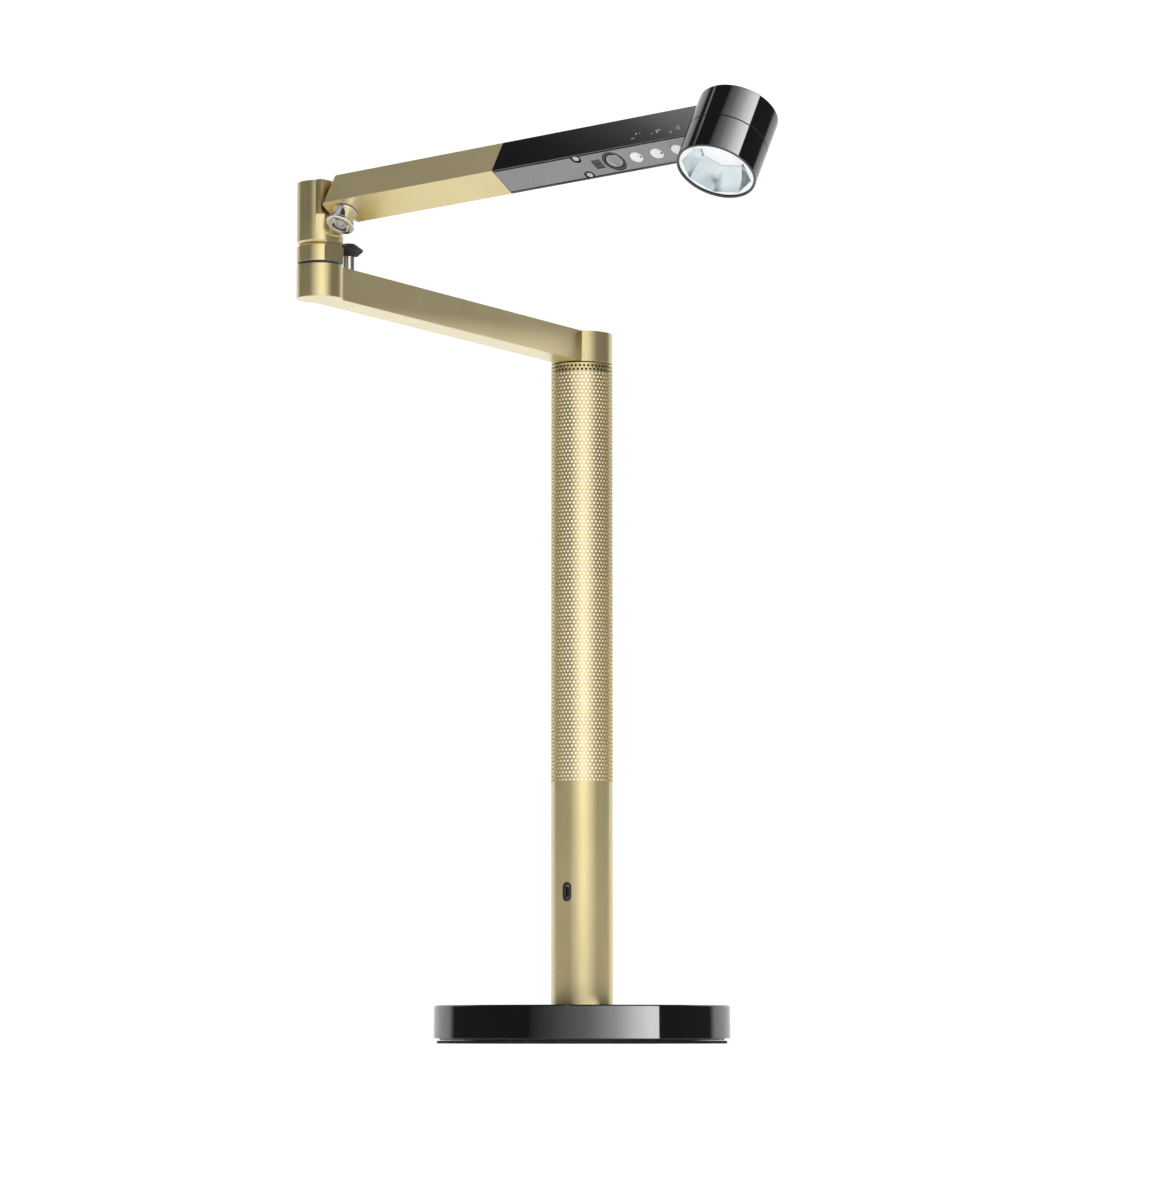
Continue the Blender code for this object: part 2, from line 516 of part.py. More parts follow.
# ---------------------------------------------------------------- assembly
empty_scene()
make_base()
make_pole()
elbow_point = ARM_REACH * Vector((cos(LOWER_ARM_HEADING), sin(LOWER_ARM_HEADING), 0))
lower_frame = frame("lower_arm_axis", Matrix.Rotation(LOWER_ARM_HEADING, 4, "Z"))
elbow_frame = frame("elbow_axis", Matrix.Translation(elbow_point) @ Matrix.Rotation(UPPER_ARM_HEADING, 4, "Z"))
upper_frame = frame("upper_arm_axis", Matrix.Translation(elbow_point + Vector((0, 0, UPPER_ARM_AXIS_HEIGHT)))
                    @ Matrix.Rotation(UPPER_ARM_HEADING, 4, "Z") @ Matrix.Rotation(-UPPER_ARM_RISE, 4, "Y")
                    @ Matrix.Rotation(-UPPER_ARM_ROLL, 4, "X"))
make_lower_arm(lower_frame)
make_elbow(elbow_frame, upper_frame)
make_upper_arm(upper_frame)
make_housing(upper_frame)
make_head(upper_frame)
bpy.context.view_layer.update()
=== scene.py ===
# %% [markdown]
# # A desk lamp in satin brass and gloss black
#
# The lamp stands on a heavy round base. A perforated pole glows along its upper part, a lower arm swings on
# top of the pole, and an upper arm turns on the elbow and rolls about its own length, with the lamp head,
# three buttons and a sensor at its far end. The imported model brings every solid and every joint, so this
# file only adds the fine surface: rounded edges, small holes, screws, marks, finishes and light.

# %% Load the frame
import json
from math import asin, atan2, cos, pi, radians, sin, tan

import bmesh
import bpy
from mathutils import Matrix, Vector


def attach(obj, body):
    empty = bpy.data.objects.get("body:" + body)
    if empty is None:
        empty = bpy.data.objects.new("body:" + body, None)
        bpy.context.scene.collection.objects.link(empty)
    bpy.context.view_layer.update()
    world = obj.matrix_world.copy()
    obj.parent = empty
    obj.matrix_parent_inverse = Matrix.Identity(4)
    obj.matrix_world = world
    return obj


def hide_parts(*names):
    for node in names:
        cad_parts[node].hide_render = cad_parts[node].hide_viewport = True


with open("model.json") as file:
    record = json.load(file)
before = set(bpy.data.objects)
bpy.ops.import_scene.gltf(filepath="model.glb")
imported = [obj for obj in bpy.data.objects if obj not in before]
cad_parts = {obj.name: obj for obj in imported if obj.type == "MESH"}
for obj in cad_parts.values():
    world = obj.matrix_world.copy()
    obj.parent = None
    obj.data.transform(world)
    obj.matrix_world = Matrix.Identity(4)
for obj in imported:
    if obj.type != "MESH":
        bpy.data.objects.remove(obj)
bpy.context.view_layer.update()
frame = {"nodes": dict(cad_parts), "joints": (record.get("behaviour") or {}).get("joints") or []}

# %% [markdown]
# ## Where each moving part has its axes
#
# Every arm is easiest to model in its own axes, with X along its length. Those axes could be typed in again,
# but then they could drift away from the joints. They are worked out from the joints instead: the elbow's
# joint says where the lower arm ends, and the roll joint and a button's travel give the upper arm's axes.

# %% Axes of the arms
joints = {joint["name"]: joint for joint in frame["joints"]}
elbow_point = Vector((*joints["elbow_swing"]["pos_m"][:2], 0))
arm_reach = elbow_point.length
lower_axes = Matrix.Rotation(atan2(elbow_point.y, elbow_point.x), 4, "Z")

along = Vector(joints["upper_arm_roll"]["axis"]).normalized()
upward = Vector(joints["button_tone_press"]["axis"]).normalized()
across = upward.cross(along).normalized()
upper_axes = Matrix((along, across, upward)).transposed().to_4x4()
upper_axes.translation = Vector(joints["upper_arm_roll"]["pos_m"])
elbow_axes = Matrix.Translation(elbow_point) @ Matrix.Rotation(atan2(along.y, along.x), 4, "Z")
base_axes = Matrix.Identity(4)
print("each arm reaches", round(arm_reach, 4), "m")


# %% Measure a node in an arm's axes
def measure(node, axes=base_axes):
    """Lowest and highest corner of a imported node, in the axes of the part it belongs to."""
    back = axes.inverted()
    points = [back @ vertex.co for vertex in frame["nodes"][node].data.vertices]
    low = Vector([min(point[side] for point in points) for side in range(3)])
    high = Vector([max(point[side] for point in points) for side in range(3)])
    return low, high


brass_box = measure("upper_arm_tube", upper_axes)
print("upper arm, brass part:", [round(x, 4) for corner in brass_box for x in corner])

# %% [markdown]
# ## The camera
#
# The camera comes first, because it decides which side of the lamp is studied most. It stands almost at
# table height in front of the lamp and looks slightly up, through a long lens, so the upright lines stay
# nearly parallel and the undersides of both arms show.

# %% Camera
camera = bpy.data.objects.new("camera", bpy.data.cameras.new("camera"))
bpy.context.scene.collection.objects.link(camera)
camera.data.lens = 135
camera.data.sensor_width = 36
camera.location = (-0.0044, -3.3302, 0.0092)
camera.rotation_euler = (radians(90 + 5.469), 0, 0)
bpy.context.scene.camera = camera
bpy.context.scene.view_settings.view_transform = "Standard"
print("camera", camera.data.lens, "mm, at", [round(x, 3) for x in camera.location])

# %% [markdown]
# ## Finishes
#
# A finish is one Principled shader with three layers of detail on it: a slow change of tone over
# centimetres, small patches where the surface is a little rougher, and a fine grain that tilts the light.
# Image files wrapped round the parts could do the same, but noise made by nodes needs no files, has no
# seams and keeps its real scale on every part. One helper builds the layers, and each finish then adds
# what is its own.


# %% The three layers that every finish shares
def layered(name, tones, roughness, metallic=0.0, patch=40.0, grain=1500.0, depth=0.1,
            stretch=(1, 1, 1), **sockets):
    """A Principled finish: two tones, a range of roughness, and a grain whose bumps are depth millimetres."""
    made = bpy.data.materials.new(name)
    made.use_nodes = True
    tree = made.node_tree
    shader = tree.nodes["Principled BSDF"]
    place = tree.nodes.new("ShaderNodeTexCoord")
    scaled = tree.nodes.new("ShaderNodeMapping")
    scaled.inputs["Scale"].default_value = stretch
    tree.links.new(place.outputs["Object"], scaled.inputs["Vector"])

    def noise(scale, detail):
        texture = tree.nodes.new("ShaderNodeTexNoise")
        texture.inputs["Scale"].default_value = scale
        texture.inputs["Detail"].default_value = detail
        tree.links.new(scaled.outputs["Vector"], texture.inputs["Vector"])
        return texture.outputs["Fac"]

    tone = tree.nodes.new("ShaderNodeValToRGB")
    for stop, position, colour in zip(tone.color_ramp.elements, (0.35, 0.65), tones):
        stop.position = position
        stop.color = (*colour, 1)
    tree.links.new(noise(patch, 3), tone.inputs["Fac"])
    tree.links.new(tone.outputs["Color"], shader.inputs["Base Color"])

    rough = tree.nodes.new("ShaderNodeMapRange")
    rough.inputs["From Min"].default_value = 0.3
    rough.inputs["From Max"].default_value = 0.7
    rough.inputs["To Min"].default_value = roughness[0]
    rough.inputs["To Max"].default_value = roughness[1]
    tree.links.new(noise(patch * 3, 4), rough.inputs["Value"])
    tree.links.new(rough.outputs["Result"], shader.inputs["Roughness"])

    bump = tree.nodes.new("ShaderNodeBump")
    bump.inputs["Strength"].default_value = 0.5
    bump.inputs["Distance"].default_value = depth / 1000
    tree.links.new(noise(grain, 2), bump.inputs["Height"])
    tree.links.new(bump.outputs["Normal"], shader.inputs["Normal"])

    shader.inputs["Metallic"].default_value = metallic
    for socket, value in sockets.items():
        shader.inputs[socket.replace("_", " ")].default_value = value
    return made


print("finish helper ready")

# %% [markdown]
# ### Satin brass
#
# The pole and the arms are aluminium, blasted with fine beads and anodised to a pale brass. The blasting
# leaves a very fine grain that spreads each reflection, and the clear oxide over the colour adds a thin
# whitish sheen, which a coat layer gives.

# %% Satin brass
satin_brass = layered(
    "satin_brass", ((0.60, 0.505, 0.27), (0.64, 0.54, 0.29)), (0.29, 0.33), 1.0,
    patch=18, grain=5000, depth=0.0015,
    Coat_Weight=0.2, Coat_Roughness=0.2, Coat_IOR=1.5)
print("made", satin_brass.name)

# %% [markdown]
# ### Gloss black
#
# The base, the head and the control housing are polished black. What shows is mostly reflection, so the
# surface needs a very dark colour, a high refractive index and only a trace of unevenness, which makes the
# edges of the reflections wander a little as they do on real lacquer.

# %% Gloss black
gloss_black = layered(
    "gloss_black", ((0.003, 0.003, 0.0032), (0.0038, 0.0038, 0.004)), (0.035, 0.055),
    patch=12, grain=90, depth=0.003,
    IOR=1.8)
print("made", gloss_black.name)

# %% [markdown]
# ### Bright, brushed and machined metals
#
# The clamp knob and the stop's stud are plated and polished like a mirror. Screws, axles and the hub are
# plain steel, brushed by the tool that made them, so their grain is stretched along one direction. The
# reflector facets are coated with aluminium vapour and look almost white.

# %% Metals
chrome = layered(
    "chrome", ((0.60, 0.60, 0.61), (0.65, 0.65, 0.66)), (0.05, 0.09), 1.0, patch=60, grain=2500, depth=0.002)
steel = layered(
    "steel", ((0.50, 0.50, 0.51), (0.58, 0.58, 0.59)), (0.28, 0.42), 1.0, patch=120, grain=3000, depth=0.02,
    stretch=(1, 1, 0.08))
machined = layered(
    "machined_aluminium", ((0.66, 0.67, 0.69), (0.72, 0.73, 0.75)), (0.25, 0.36), 1.0, patch=90, grain=2500,
    depth=0.02, stretch=(0.1, 0.1, 1))
cast_iron = layered(
    "cast_iron", ((0.09, 0.09, 0.09), (0.15, 0.145, 0.14)), (0.6, 0.8), 1.0, patch=70, grain=700, depth=0.6)
copper = layered(
    "copper", ((0.70, 0.33, 0.19), (0.78, 0.39, 0.24)), (0.22, 0.38), 1.0, patch=80, grain=2000, depth=0.01,
    stretch=(0.1, 1, 1))
contact = layered(
    "contact_brass", ((0.72, 0.56, 0.26), (0.78, 0.63, 0.32)), (0.2, 0.3), 1.0,
    patch=200, grain=4000, depth=0.01)
blackened = layered(
    "blackened_steel", ((0.035, 0.035, 0.036), (0.05, 0.05, 0.051)), (0.25, 0.35), 1.0,
    patch=300, grain=3000, depth=0.01)
mirror = layered(
    "mirror_facets", ((0.76, 0.80, 0.81), (0.80, 0.84, 0.85)), (0.11, 0.17), 1.0, patch=150, grain=2500,
    depth=0.004)
print("made", chrome.name, steel.name, machined.name, cast_iron.name, copper.name, contact.name, mirror.name)

# %% [markdown]
# ### Plastics, rubber and coatings
#
# The grey plate is lacquered metal with a satin surface. The buttons and the light guide are milky plastic.
# The light guide glows, because the pole is switched on: its light is what shows through the small holes.
# The foot and the stop's cap are rubber, dull and slightly dusty, and the small black parts are moulded.

# %% Plastics, rubber and coatings
satin_grey = layered(
    "satin_grey", ((0.22, 0.22, 0.222), (0.25, 0.25, 0.252)), (0.24, 0.32), 0.85,
    patch=25, grain=6000, depth=0.003)
rubber = layered(
    "rubber", ((0.014, 0.014, 0.014), (0.024, 0.024, 0.023)), (0.55, 0.75), patch=60, grain=1800, depth=0.12)
moulded = layered(
    "moulded_black", ((0.016, 0.016, 0.017), (0.024, 0.024, 0.025)), (0.30, 0.45),
    patch=90, grain=2600, depth=0.05)
board = layered(
    "circuit_board", ((0.010, 0.075, 0.035), (0.016, 0.11, 0.05)), (0.30, 0.45),
    patch=260, grain=900, depth=0.08)
button_white = layered(
    "button_white", ((0.66, 0.66, 0.67), (0.72, 0.72, 0.73)), (0.32, 0.42), patch=120, grain=3500, depth=0.02,
    Subsurface_Weight=0.1, Subsurface_Scale=0.001)
phosphor = layered(
    "phosphor", ((0.86, 0.80, 0.42), (0.92, 0.87, 0.52)), (0.4, 0.55), patch=500, grain=3000, depth=0.05)
light_guide = layered(
    "light_guide", ((0.72, 0.71, 0.66), (0.78, 0.77, 0.72)), (0.4, 0.5), patch=60, grain=2500, depth=0.03,
    Emission_Color=(1.0, 0.97, 0.88, 1), Emission_Strength=0.7)
# The head's milky diffuser gets a faint emission of its own. This is painted light that brightens the plate to
# white; the head's lamp is not switched on.
diffuser_painted_glow = layered(
    "diffuser_painted_glow", ((0.76, 0.77, 0.78), (0.82, 0.83, 0.84)), (0.35, 0.45), patch=90, grain=3000, depth=0.03,
    Emission_Color=(1.0, 0.98, 0.97, 1), Emission_Strength=0.15)
dark_glass = layered(
    "dark_glass", ((0.17, 0.17, 0.18), (0.25, 0.25, 0.26)), (0.03, 0.05), 0.9, patch=60, grain=420, depth=0.9,
    Coat_Weight=1.0, Coat_Roughness=0.03)
print("made", satin_grey.name, rubber.name, moulded.name, board.name, button_white.name, light_guide.name)

# %% [markdown]
# ## Modelling helpers
#
# Nearly every part of this lamp was made on a lathe, cut from an extrusion or milled. The helpers follow
# those three ways of working: turn a profile, extrude an outline, and take one solid away from another. A
# sharp computer edge never looks real, so outlines get small fillets, and milled edges get a bevel.


# %% Outlines with rounded corners
def arc(centre, radius, start, end, steps):
    """Points on an arc from one angle to another, both ends included."""
    turns = [start + (end - start) * step / steps for step in range(steps + 1)]
    return [(centre[0] + radius * cos(turn), centre[1] + radius * sin(turn)) for turn in turns]


def filleted(corners, steps=4):
    """A closed outline whose corners, given as (x, y, radius), are rounded by arcs."""
    outline = []
    for index, (x, y, radius) in enumerate(corners):
        if radius == 0:
            outline.append((x, y))
            continue
        here = Vector((x, y))
        back = (Vector(corners[index - 1][:2]) - here).normalized()
        ahead = (Vector(corners[(index + 1) % len(corners)][:2]) - here).normalized()
        half = back.angle(ahead) / 2
        centre = here + (back + ahead).normalized() * (radius / sin(half))
        first = here + back * (radius / tan(half)) - centre
        last = here + ahead * (radius / tan(half)) - centre
        start = atan2(first.y, first.x)
        sweep = (atan2(last.y, last.x) - start + pi) % (2 * pi) - pi
        outline += arc(centre, radius, start, start + sweep, steps)
    return outline


rounded_square = filleted([(0, 0, 0.1), (1, 0, 0.1), (1, 1, 0.1), (0, 1, 0.1)])
print("a square with rounded corners has", len(rounded_square), "points")


# %% Turn, extrude and finish a solid
def solid(name, work, crease=32):
    """Put a finished bmesh into the scene, smooth except at edges sharper than the crease angle."""
    bmesh.ops.recalc_face_normals(work, faces=work.faces)
    mesh = bpy.data.meshes.new(name)
    work.to_mesh(mesh)
    work.free()
    piece = bpy.data.objects.new(name, mesh)
    bpy.context.scene.collection.objects.link(piece)
    mesh.shade_smooth()
    mesh.set_sharp_from_angle(angle=radians(crease))
    return piece


def turned(name, profile, steps=96, at=(0, 0, 0), crease=32):
    """Turn a profile of (radius, height) points about Z; one that starts on the axis closes itself."""
    work = bmesh.new()
    points = [work.verts.new((radius, 0, height)) for radius, height in profile]
    pairs = list(zip(points, points[1:]))
    if profile[0][0] > 0:
        pairs.append((points[-1], points[0]))
    edges = [work.edges.new(pair) for pair in pairs]
    bmesh.ops.spin(work, geom=points + edges, cent=(0, 0, 0), axis=(0, 0, 1), angle=2 * pi, steps=steps)
    bmesh.ops.remove_doubles(work, verts=work.verts, dist=0.0000005)
    bmesh.ops.translate(work, verts=work.verts, vec=at)
    return solid(name, work, crease)


def extruded(name, outline, low, high, crease=32):
    """Extrude an outline of (x, y) points from one height to another."""
    work = bmesh.new()
    face = work.faces.new([work.verts.new((x, y, low)) for x, y in outline])
    grown = bmesh.ops.extrude_face_region(work, geom=[face])
    lifted = [part for part in grown["geom"] if isinstance(part, bmesh.types.BMVert)]
    bmesh.ops.translate(work, verts=lifted, vec=(0, 0, high - low))
    return solid(name, work, crease)


def block(name, low, high):
    """A box between two corners, as a cutting tool."""
    outline = [(low[0], low[1]), (high[0], low[1]), (high[0], high[1]), (low[0], high[1])]
    return extruded(name, outline, low[2], high[2])


print("helpers ready: turned, extruded, block")


# %% Cut and bevel, then keep the plain mesh
def settle(piece, crease=32):
    """Turn a piece's modifiers into plain mesh."""
    bpy.context.view_layer.update()
    graph = bpy.context.evaluated_depsgraph_get()
    mesh = bpy.data.meshes.new_from_object(piece.evaluated_get(graph))
    piece.modifiers.clear()
    piece.data = mesh
    mesh.shade_smooth()
    mesh.set_sharp_from_angle(angle=radians(crease))
    return piece


def combine(piece, tools, operation):
    for tool in tools:
        step = piece.modifiers.new(tool.name, "BOOLEAN")
        step.operation = operation
        step.object = tool
    settle(piece)
    for tool in tools:
        bpy.data.objects.remove(tool)
    return piece


def subtract(piece, *tools):
    return combine(piece, tools, "DIFFERENCE")


def weld(piece, *tools):
    return combine(piece, tools, "UNION")


def eased(piece, width, segments=2, angle=30, crease=32):
    """Round every edge sharper than the angle by a small bevel."""
    step = piece.modifiers.new("eased", "BEVEL")
    step.width = width
    step.segments = segments
    step.limit_method = "ANGLE"
    step.angle_limit = radians(angle)
    step.harden_normals = False
    return settle(piece, crease)


print("helpers ready: subtract, weld, eased")


# %% Hand a piece over to the frame
pieces = []


def hand_over(piece, body, axes, look, slot, *nodes):
    """Place a piece in its part's axes and say its finish, its body and the nodes it stands for."""
    shading = piece.modifiers.new("shading", "WEIGHTED_NORMAL")
    shading.keep_sharp = True
    shading.weight = 90
    settle(piece)
    piece.data.materials.clear()
    piece.data.materials.append(look)
    piece.data.transform(axes)
    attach(piece, body)
    if nodes:
        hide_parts(*nodes)
    pieces.append((piece, look))
    print(f"{piece.name}: {len(piece.data.polygons)} faces, on {body}")
    return piece


# %% [markdown]
# ## The base
#
# The base is a turned shell with an iron ring inside. Its side leans in by a hair, so that it leaves its
# mould, and its top edge has a small crisp chamfer that draws a bright line round it. A lathe profile of ten
# points says all of that. The power socket at the back is cut out of the same shell.

# %% Base shell
base_low, base_high = measure("base_shell")
base_radius = base_high.x
base_top = base_high.z
draft = 0.0003
chamfer = 0.0009
wall = 0.0025
shell_profile = filleted([
    (base_radius - wall, base_low.z, 0), (base_radius, base_low.z, 0.0002),
    (base_radius - draft, base_top - chamfer, 0.0003), (base_radius - draft - chamfer, base_top, 0.0003),
    (0.0150, base_top, 0), (0.0150, base_top - wall, 0), (base_radius - wall - draft, base_top - wall, 0)])
shell = turned("base_shell_skin", shell_profile, steps=256, crease=50)
inlet_low, inlet_high = measure("power_inlet")
socket_gap = 0.0003
mouth_outline = filleted([
    (side * (inlet_high.x + socket_gap), height, 0.0012)
    for side, height in ((-1, inlet_low.z - socket_gap), (1, inlet_low.z - socket_gap),
                         (1, inlet_high.z + socket_gap), (-1, inlet_high.z + socket_gap))])
mouth = extruded("inlet_mouth", mouth_outline, 0.095, 0.12)
mouth.data.transform(Matrix(((1, 0, 0, 0), (0, 0, 1, 0), (0, 1, 0, 0), (0, 0, 0, 1))))
mouth.data.flip_normals()
subtract(shell, mouth)
shell.data.set_sharp_from_angle(angle=radians(50))
hand_over(shell, "base_and_pole", base_axes, gloss_black, "gloss_black_shell", "base_shell")

# %% [markdown]
# Under the shell a rubber pad keeps the lamp from sliding. Only its lip shows, below a thin shadow line. A
# few concentric grooves underneath let it grip, as on most such pads.

# %% Rubber foot
pad_high = measure("base_pad")[1]
pad_radius = pad_high.x
lip = 0.0007
groove = 0.0005
foot_profile = [(0, 0)]
for number in range(1, 6):
    middle = pad_radius * number / 6
    foot_profile += [(middle - 0.002, 0), (middle - 0.002 + groove, groove),
                     (middle + 0.002 - groove, groove), (middle + 0.002, 0)]
foot_profile += [(pad_radius - lip, 0), (pad_radius - 0.0002, 0.0002), (pad_radius, lip),
                 (pad_radius, pad_high.z - 0.0003), (pad_radius - 0.0003, pad_high.z), (0, pad_high.z)]
foot = turned("rubber_foot", foot_profile, steps=192)
hand_over(foot, "base_and_pole", base_axes, rubber, "black_rubber", "base_pad")

# %% [markdown]
# ## The pole
#
# The pole is one tube. Its upper part has rows of small round holes, each row shifted by half a step, and a
# light behind them. Holes painted on by a texture would look flat at the rim of the tube, where the wall's
# thickness shows, so every hole is real. Cutting thousands of holes by Boolean would take minutes. Instead
# the sleeve is woven from small cells, each one a patch of tube with a six-sided hole in its middle.

# %% Sizes of the perforated sleeve
tube_low, tube_high = measure("pole_tube")
pole_radius = tube_high.x
pole_wall = 0.0012
holes_around = 46
hole_rows = 112
row_pitch = 0.002771
hole_radius = 0.00101
top_row = tube_high.z - 0.0026
columns = 2 * holes_around
print("holes:", holes_around * hole_rows, "step", round(2 * pi * pole_radius / holes_around * 1000, 2), "mm")


# %% Weave the sleeve
def sleeve_mesh(radius_out, radius_in):
    """Vertices and faces of the perforated part, outside, inside and the walls of every hole."""
    verts = []
    faces = []

    def ring(height, radius):
        start = len(verts)
        turns = [2 * pi * column / columns for column in range(columns)]
        verts.extend((radius * cos(turn), radius * sin(turn), height) for turn in turns)
        return start

    rims = []
    for row in range(hole_rows + 1):
        height = top_row + row_pitch * (0.5 - row)
        rims.append((ring(height, radius_out), ring(height, radius_in)))

    for row in range(hole_rows):
        middle = top_row - row_pitch * row
        for number in range(holes_around):
            column = 2 * number + row % 2
            turn = 2 * pi * column / columns
            starts = []
            for layer, radius in enumerate((radius_out, radius_in)):
                start = len(verts)
                starts.append(start)
                for side in range(6):
                    lean = radians(90 - 60 * side)
                    swing = turn + hole_radius * cos(lean) / radius_out
                    verts.append((radius * cos(swing), radius * sin(swing), middle + hole_radius * sin(lean)))
                before, after = (column - 1) % columns, (column + 1) % columns
                above, below = rims[row][layer], rims[row + 1][layer]
                edge = [above + column, above + after, below + after,
                        below + column, below + before, above + before]
                for side in range(6):
                    ahead = (side + 1) % 6
                    face = (edge[side], edge[ahead], start + ahead, start + side)
                    faces.append(face if layer else face[::-1])
            outer, inner = starts
            for side in range(6):
                ahead = (side + 1) % 6
                faces.append((outer + side, outer + ahead, inner + ahead, inner + side))
    return verts, faces


def stitched(name, parts, seams):
    """Join tubes that meet at the seam heights, without the lids between them."""
    work = bmesh.new()
    for part in parts:
        work.from_mesh(part.data)
        bpy.data.objects.remove(part)
    lids = [face for face in work.faces
            if any(all(abs(vert.co.z - seam) < 0.000001 for vert in face.verts) for seam in seams)]
    bmesh.ops.delete(work, geom=lids, context="FACES_ONLY")
    bmesh.ops.remove_doubles(work, verts=work.verts, dist=0.000002)
    return solid(name, work)


# %% [markdown]
# Below the sleeve the tube is plain, with a slot for the charging port. The port's three small parts are
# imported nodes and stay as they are. The slot is cut in the plain part alone, and then the three stretches of
# tube are stitched into one.

# %% Pole tube
pole_inside = pole_radius - pole_wall
sleeve_high = top_row + row_pitch * 0.5
sleeve_low = top_row - row_pitch * (hole_rows - 0.5)
port_low, port_high = measure("port_shell")
port_middle = (port_low + port_high) / 2
port_axes = (Matrix.Rotation(atan2(port_middle.y, port_middle.x), 4, "Z")
             @ Matrix.Translation((pole_radius, 0, port_middle.z))
             @ Matrix.Rotation(pi / 2, 4, "Y") @ Matrix.Rotation(pi / 2, 4, "Z"))
slot_half = measure("port_bezel", port_axes)[1] + Vector((socket_gap, socket_gap, 0))
slot_rise = slot_half.y - slot_half.x
slot_outline = arc((0, slot_rise), slot_half.x, 0, pi, 16) + arc((0, -slot_rise), slot_half.x, pi, 2 * pi, 16)
port_tool = extruded("port_slot", slot_outline, -0.004, 0.004)
port_tool.data.transform(port_axes)

plain = turned("plain_tube", [(pole_inside, tube_low.z), (pole_radius, tube_low.z), (pole_radius, sleeve_low),
                              (pole_inside, sleeve_low)], steps=columns)
subtract(plain, port_tool)
top_edge = 0.0004
collar = turned("top_tube", [(pole_inside, sleeve_high), (pole_radius, sleeve_high),
                             (pole_radius, tube_high.z - top_edge), (pole_radius - top_edge, tube_high.z),
                             (pole_inside, tube_high.z)], steps=columns)
woven = bpy.data.meshes.new("sleeve")
sleeve_verts, sleeve_faces = sleeve_mesh(pole_radius, pole_inside)
woven.from_pydata(sleeve_verts, [], sleeve_faces)
sleeve = bpy.data.objects.new("sleeve", woven)
pole = stitched("pole_tube_skin", [plain, collar, sleeve], (sleeve_low, sleeve_high))
hand_over(pole, "base_and_pole", base_axes, satin_brass, "satin_brass", "pole_tube")

# %% [markdown]
# ## The lower arm
#
# The lower arm is one milled bar. Its pole end is as wide as the pole and its far end is the barrel of the
# elbow, so from below its outline is two circles joined by a straight bar. A cover lies in a shallow seat on
# its top, over the wires, and a round black window closes the end over the pole.

# %% Lower arm bar
beam_low, beam_high = measure("lower_arm_beam", lower_axes)
bar_half = 0.0114
pole_end = -beam_low.x
elbow_radius = beam_high.x - arm_reach
pole_turn = asin(bar_half / pole_end)
barrel_turn = asin(bar_half / elbow_radius)
bar_outline = arc((0, 0), pole_end, pole_turn, 2 * pi - pole_turn, 96)
bar_outline += arc((arm_reach, 0), elbow_radius, barrel_turn - pi, pi - barrel_turn, 72)
bar = extruded("lower_arm_skin", bar_outline, beam_low.z, beam_high.z)
eased(bar, 0.00035, segments=2)
cover_low, cover_high = measure("lower_arm_cover", lower_axes)
glass_low, glass_high = measure("dock_window", lower_axes)
gap = 0.0003
cover_seat = block("cover_seat", (cover_low.x - gap, cover_low.y - gap, cover_low.z - gap),
                   (cover_high.x + gap, cover_high.y + gap, 0.54))
glass_seat = turned("glass_seat", [(0, glass_low.z - gap), (glass_high.x + gap, glass_low.z - gap),
                                   (glass_high.x + gap, 0.54), (0, 0.54)], steps=96)
axle_hole = turned("axle_hole", [(0, 0.49), (0.0073, 0.49), (0.0073, 0.5105), (0, 0.5105)], steps=48)
subtract(bar, cover_seat, glass_seat, axle_hole)
bore_floor, bore_radius = 0.5068, 0.0066
spindle_bore = turned("spindle_bore", [(0, bore_floor), (bore_radius, bore_floor),
                                       (bore_radius, 0.56), (0, 0.56)], steps=64)
spindle_bore.data.transform(Matrix.Translation((arm_reach, 0, 0)))
subtract(bar, spindle_bore)
hand_over(bar, "lower_arm", lower_axes, satin_brass, "satin_brass", "lower_arm_beam")

# %% Arm cover and pole window
cover_outline = filleted([(cover_low.x, cover_low.y, 0.001), (cover_high.x, cover_low.y, 0.001),
                          (cover_high.x, cover_high.y, 0.001), (cover_low.x, cover_high.y, 0.001)])
cover = extruded("lower_arm_cover_skin", cover_outline, cover_low.z, cover_high.z)
eased(cover, 0.0002)
hand_over(cover, "lower_arm", lower_axes, satin_brass, "satin_brass", "lower_arm_cover")
glass_radius = glass_high.x
glass = turned("pole_window", [
    (0, glass_low.z), (glass_radius, glass_low.z), (glass_radius, glass_high.z - 0.0003),
    (glass_radius - 0.0003, glass_high.z), (0, glass_high.z)], steps=96)
hand_over(glass, "lower_arm", lower_axes, gloss_black, "gloss_black_shell", "dock_window")

# %% [markdown]
# A chromed stud with a black rubber cap stands on the arm, close to the elbow. It stops the upper arm's
# elbow before the two arms meet. The cap is cut with flat facets, like a cut stone, with a blunt waist.

# %% Stop stud and cap
stud_low, stud_high = measure("stop_stud", lower_axes)
stud_x = (stud_low.x + stud_high.x) / 2
stud_radius = (stud_high.x - stud_low.x) / 2
stud = turned("stop_stud_skin", [
    (0, stud_low.z), (stud_radius - 0.0002, stud_low.z), (stud_radius, stud_low.z + 0.0002),
    (stud_radius, stud_high.z - 0.0002), (stud_radius - 0.0002, stud_high.z), (0, stud_high.z)], steps=64)
stud.data.transform(Matrix.Translation((stud_x, 0, 0)))
hand_over(stud, "lower_arm", lower_axes, chrome, "bright_metal", "stop_stud")

cap_low, cap_high = measure("stop_cap", lower_axes)
cap_radius = cap_high.x - stud_x
cap_waist = cap_low.z + 0.0036
waist_radius = cap_radius - 0.0001
cap = turned("stop_cap_skin", [
    (0, cap_low.z), (0.0065, cap_low.z),
    (waist_radius, cap_waist - 0.0001), (waist_radius, cap_waist + 0.0001),
    (0.0043, cap_high.z), (0, cap_high.z)], steps=10, crease=5)
eased(cap, 0.0002, angle=12, crease=5)
cap.data.transform(Matrix.Translation((stud_x, 0, 0)))
hand_over(cap, "lower_arm", lower_axes, rubber, "black_rubber", "stop_cap")

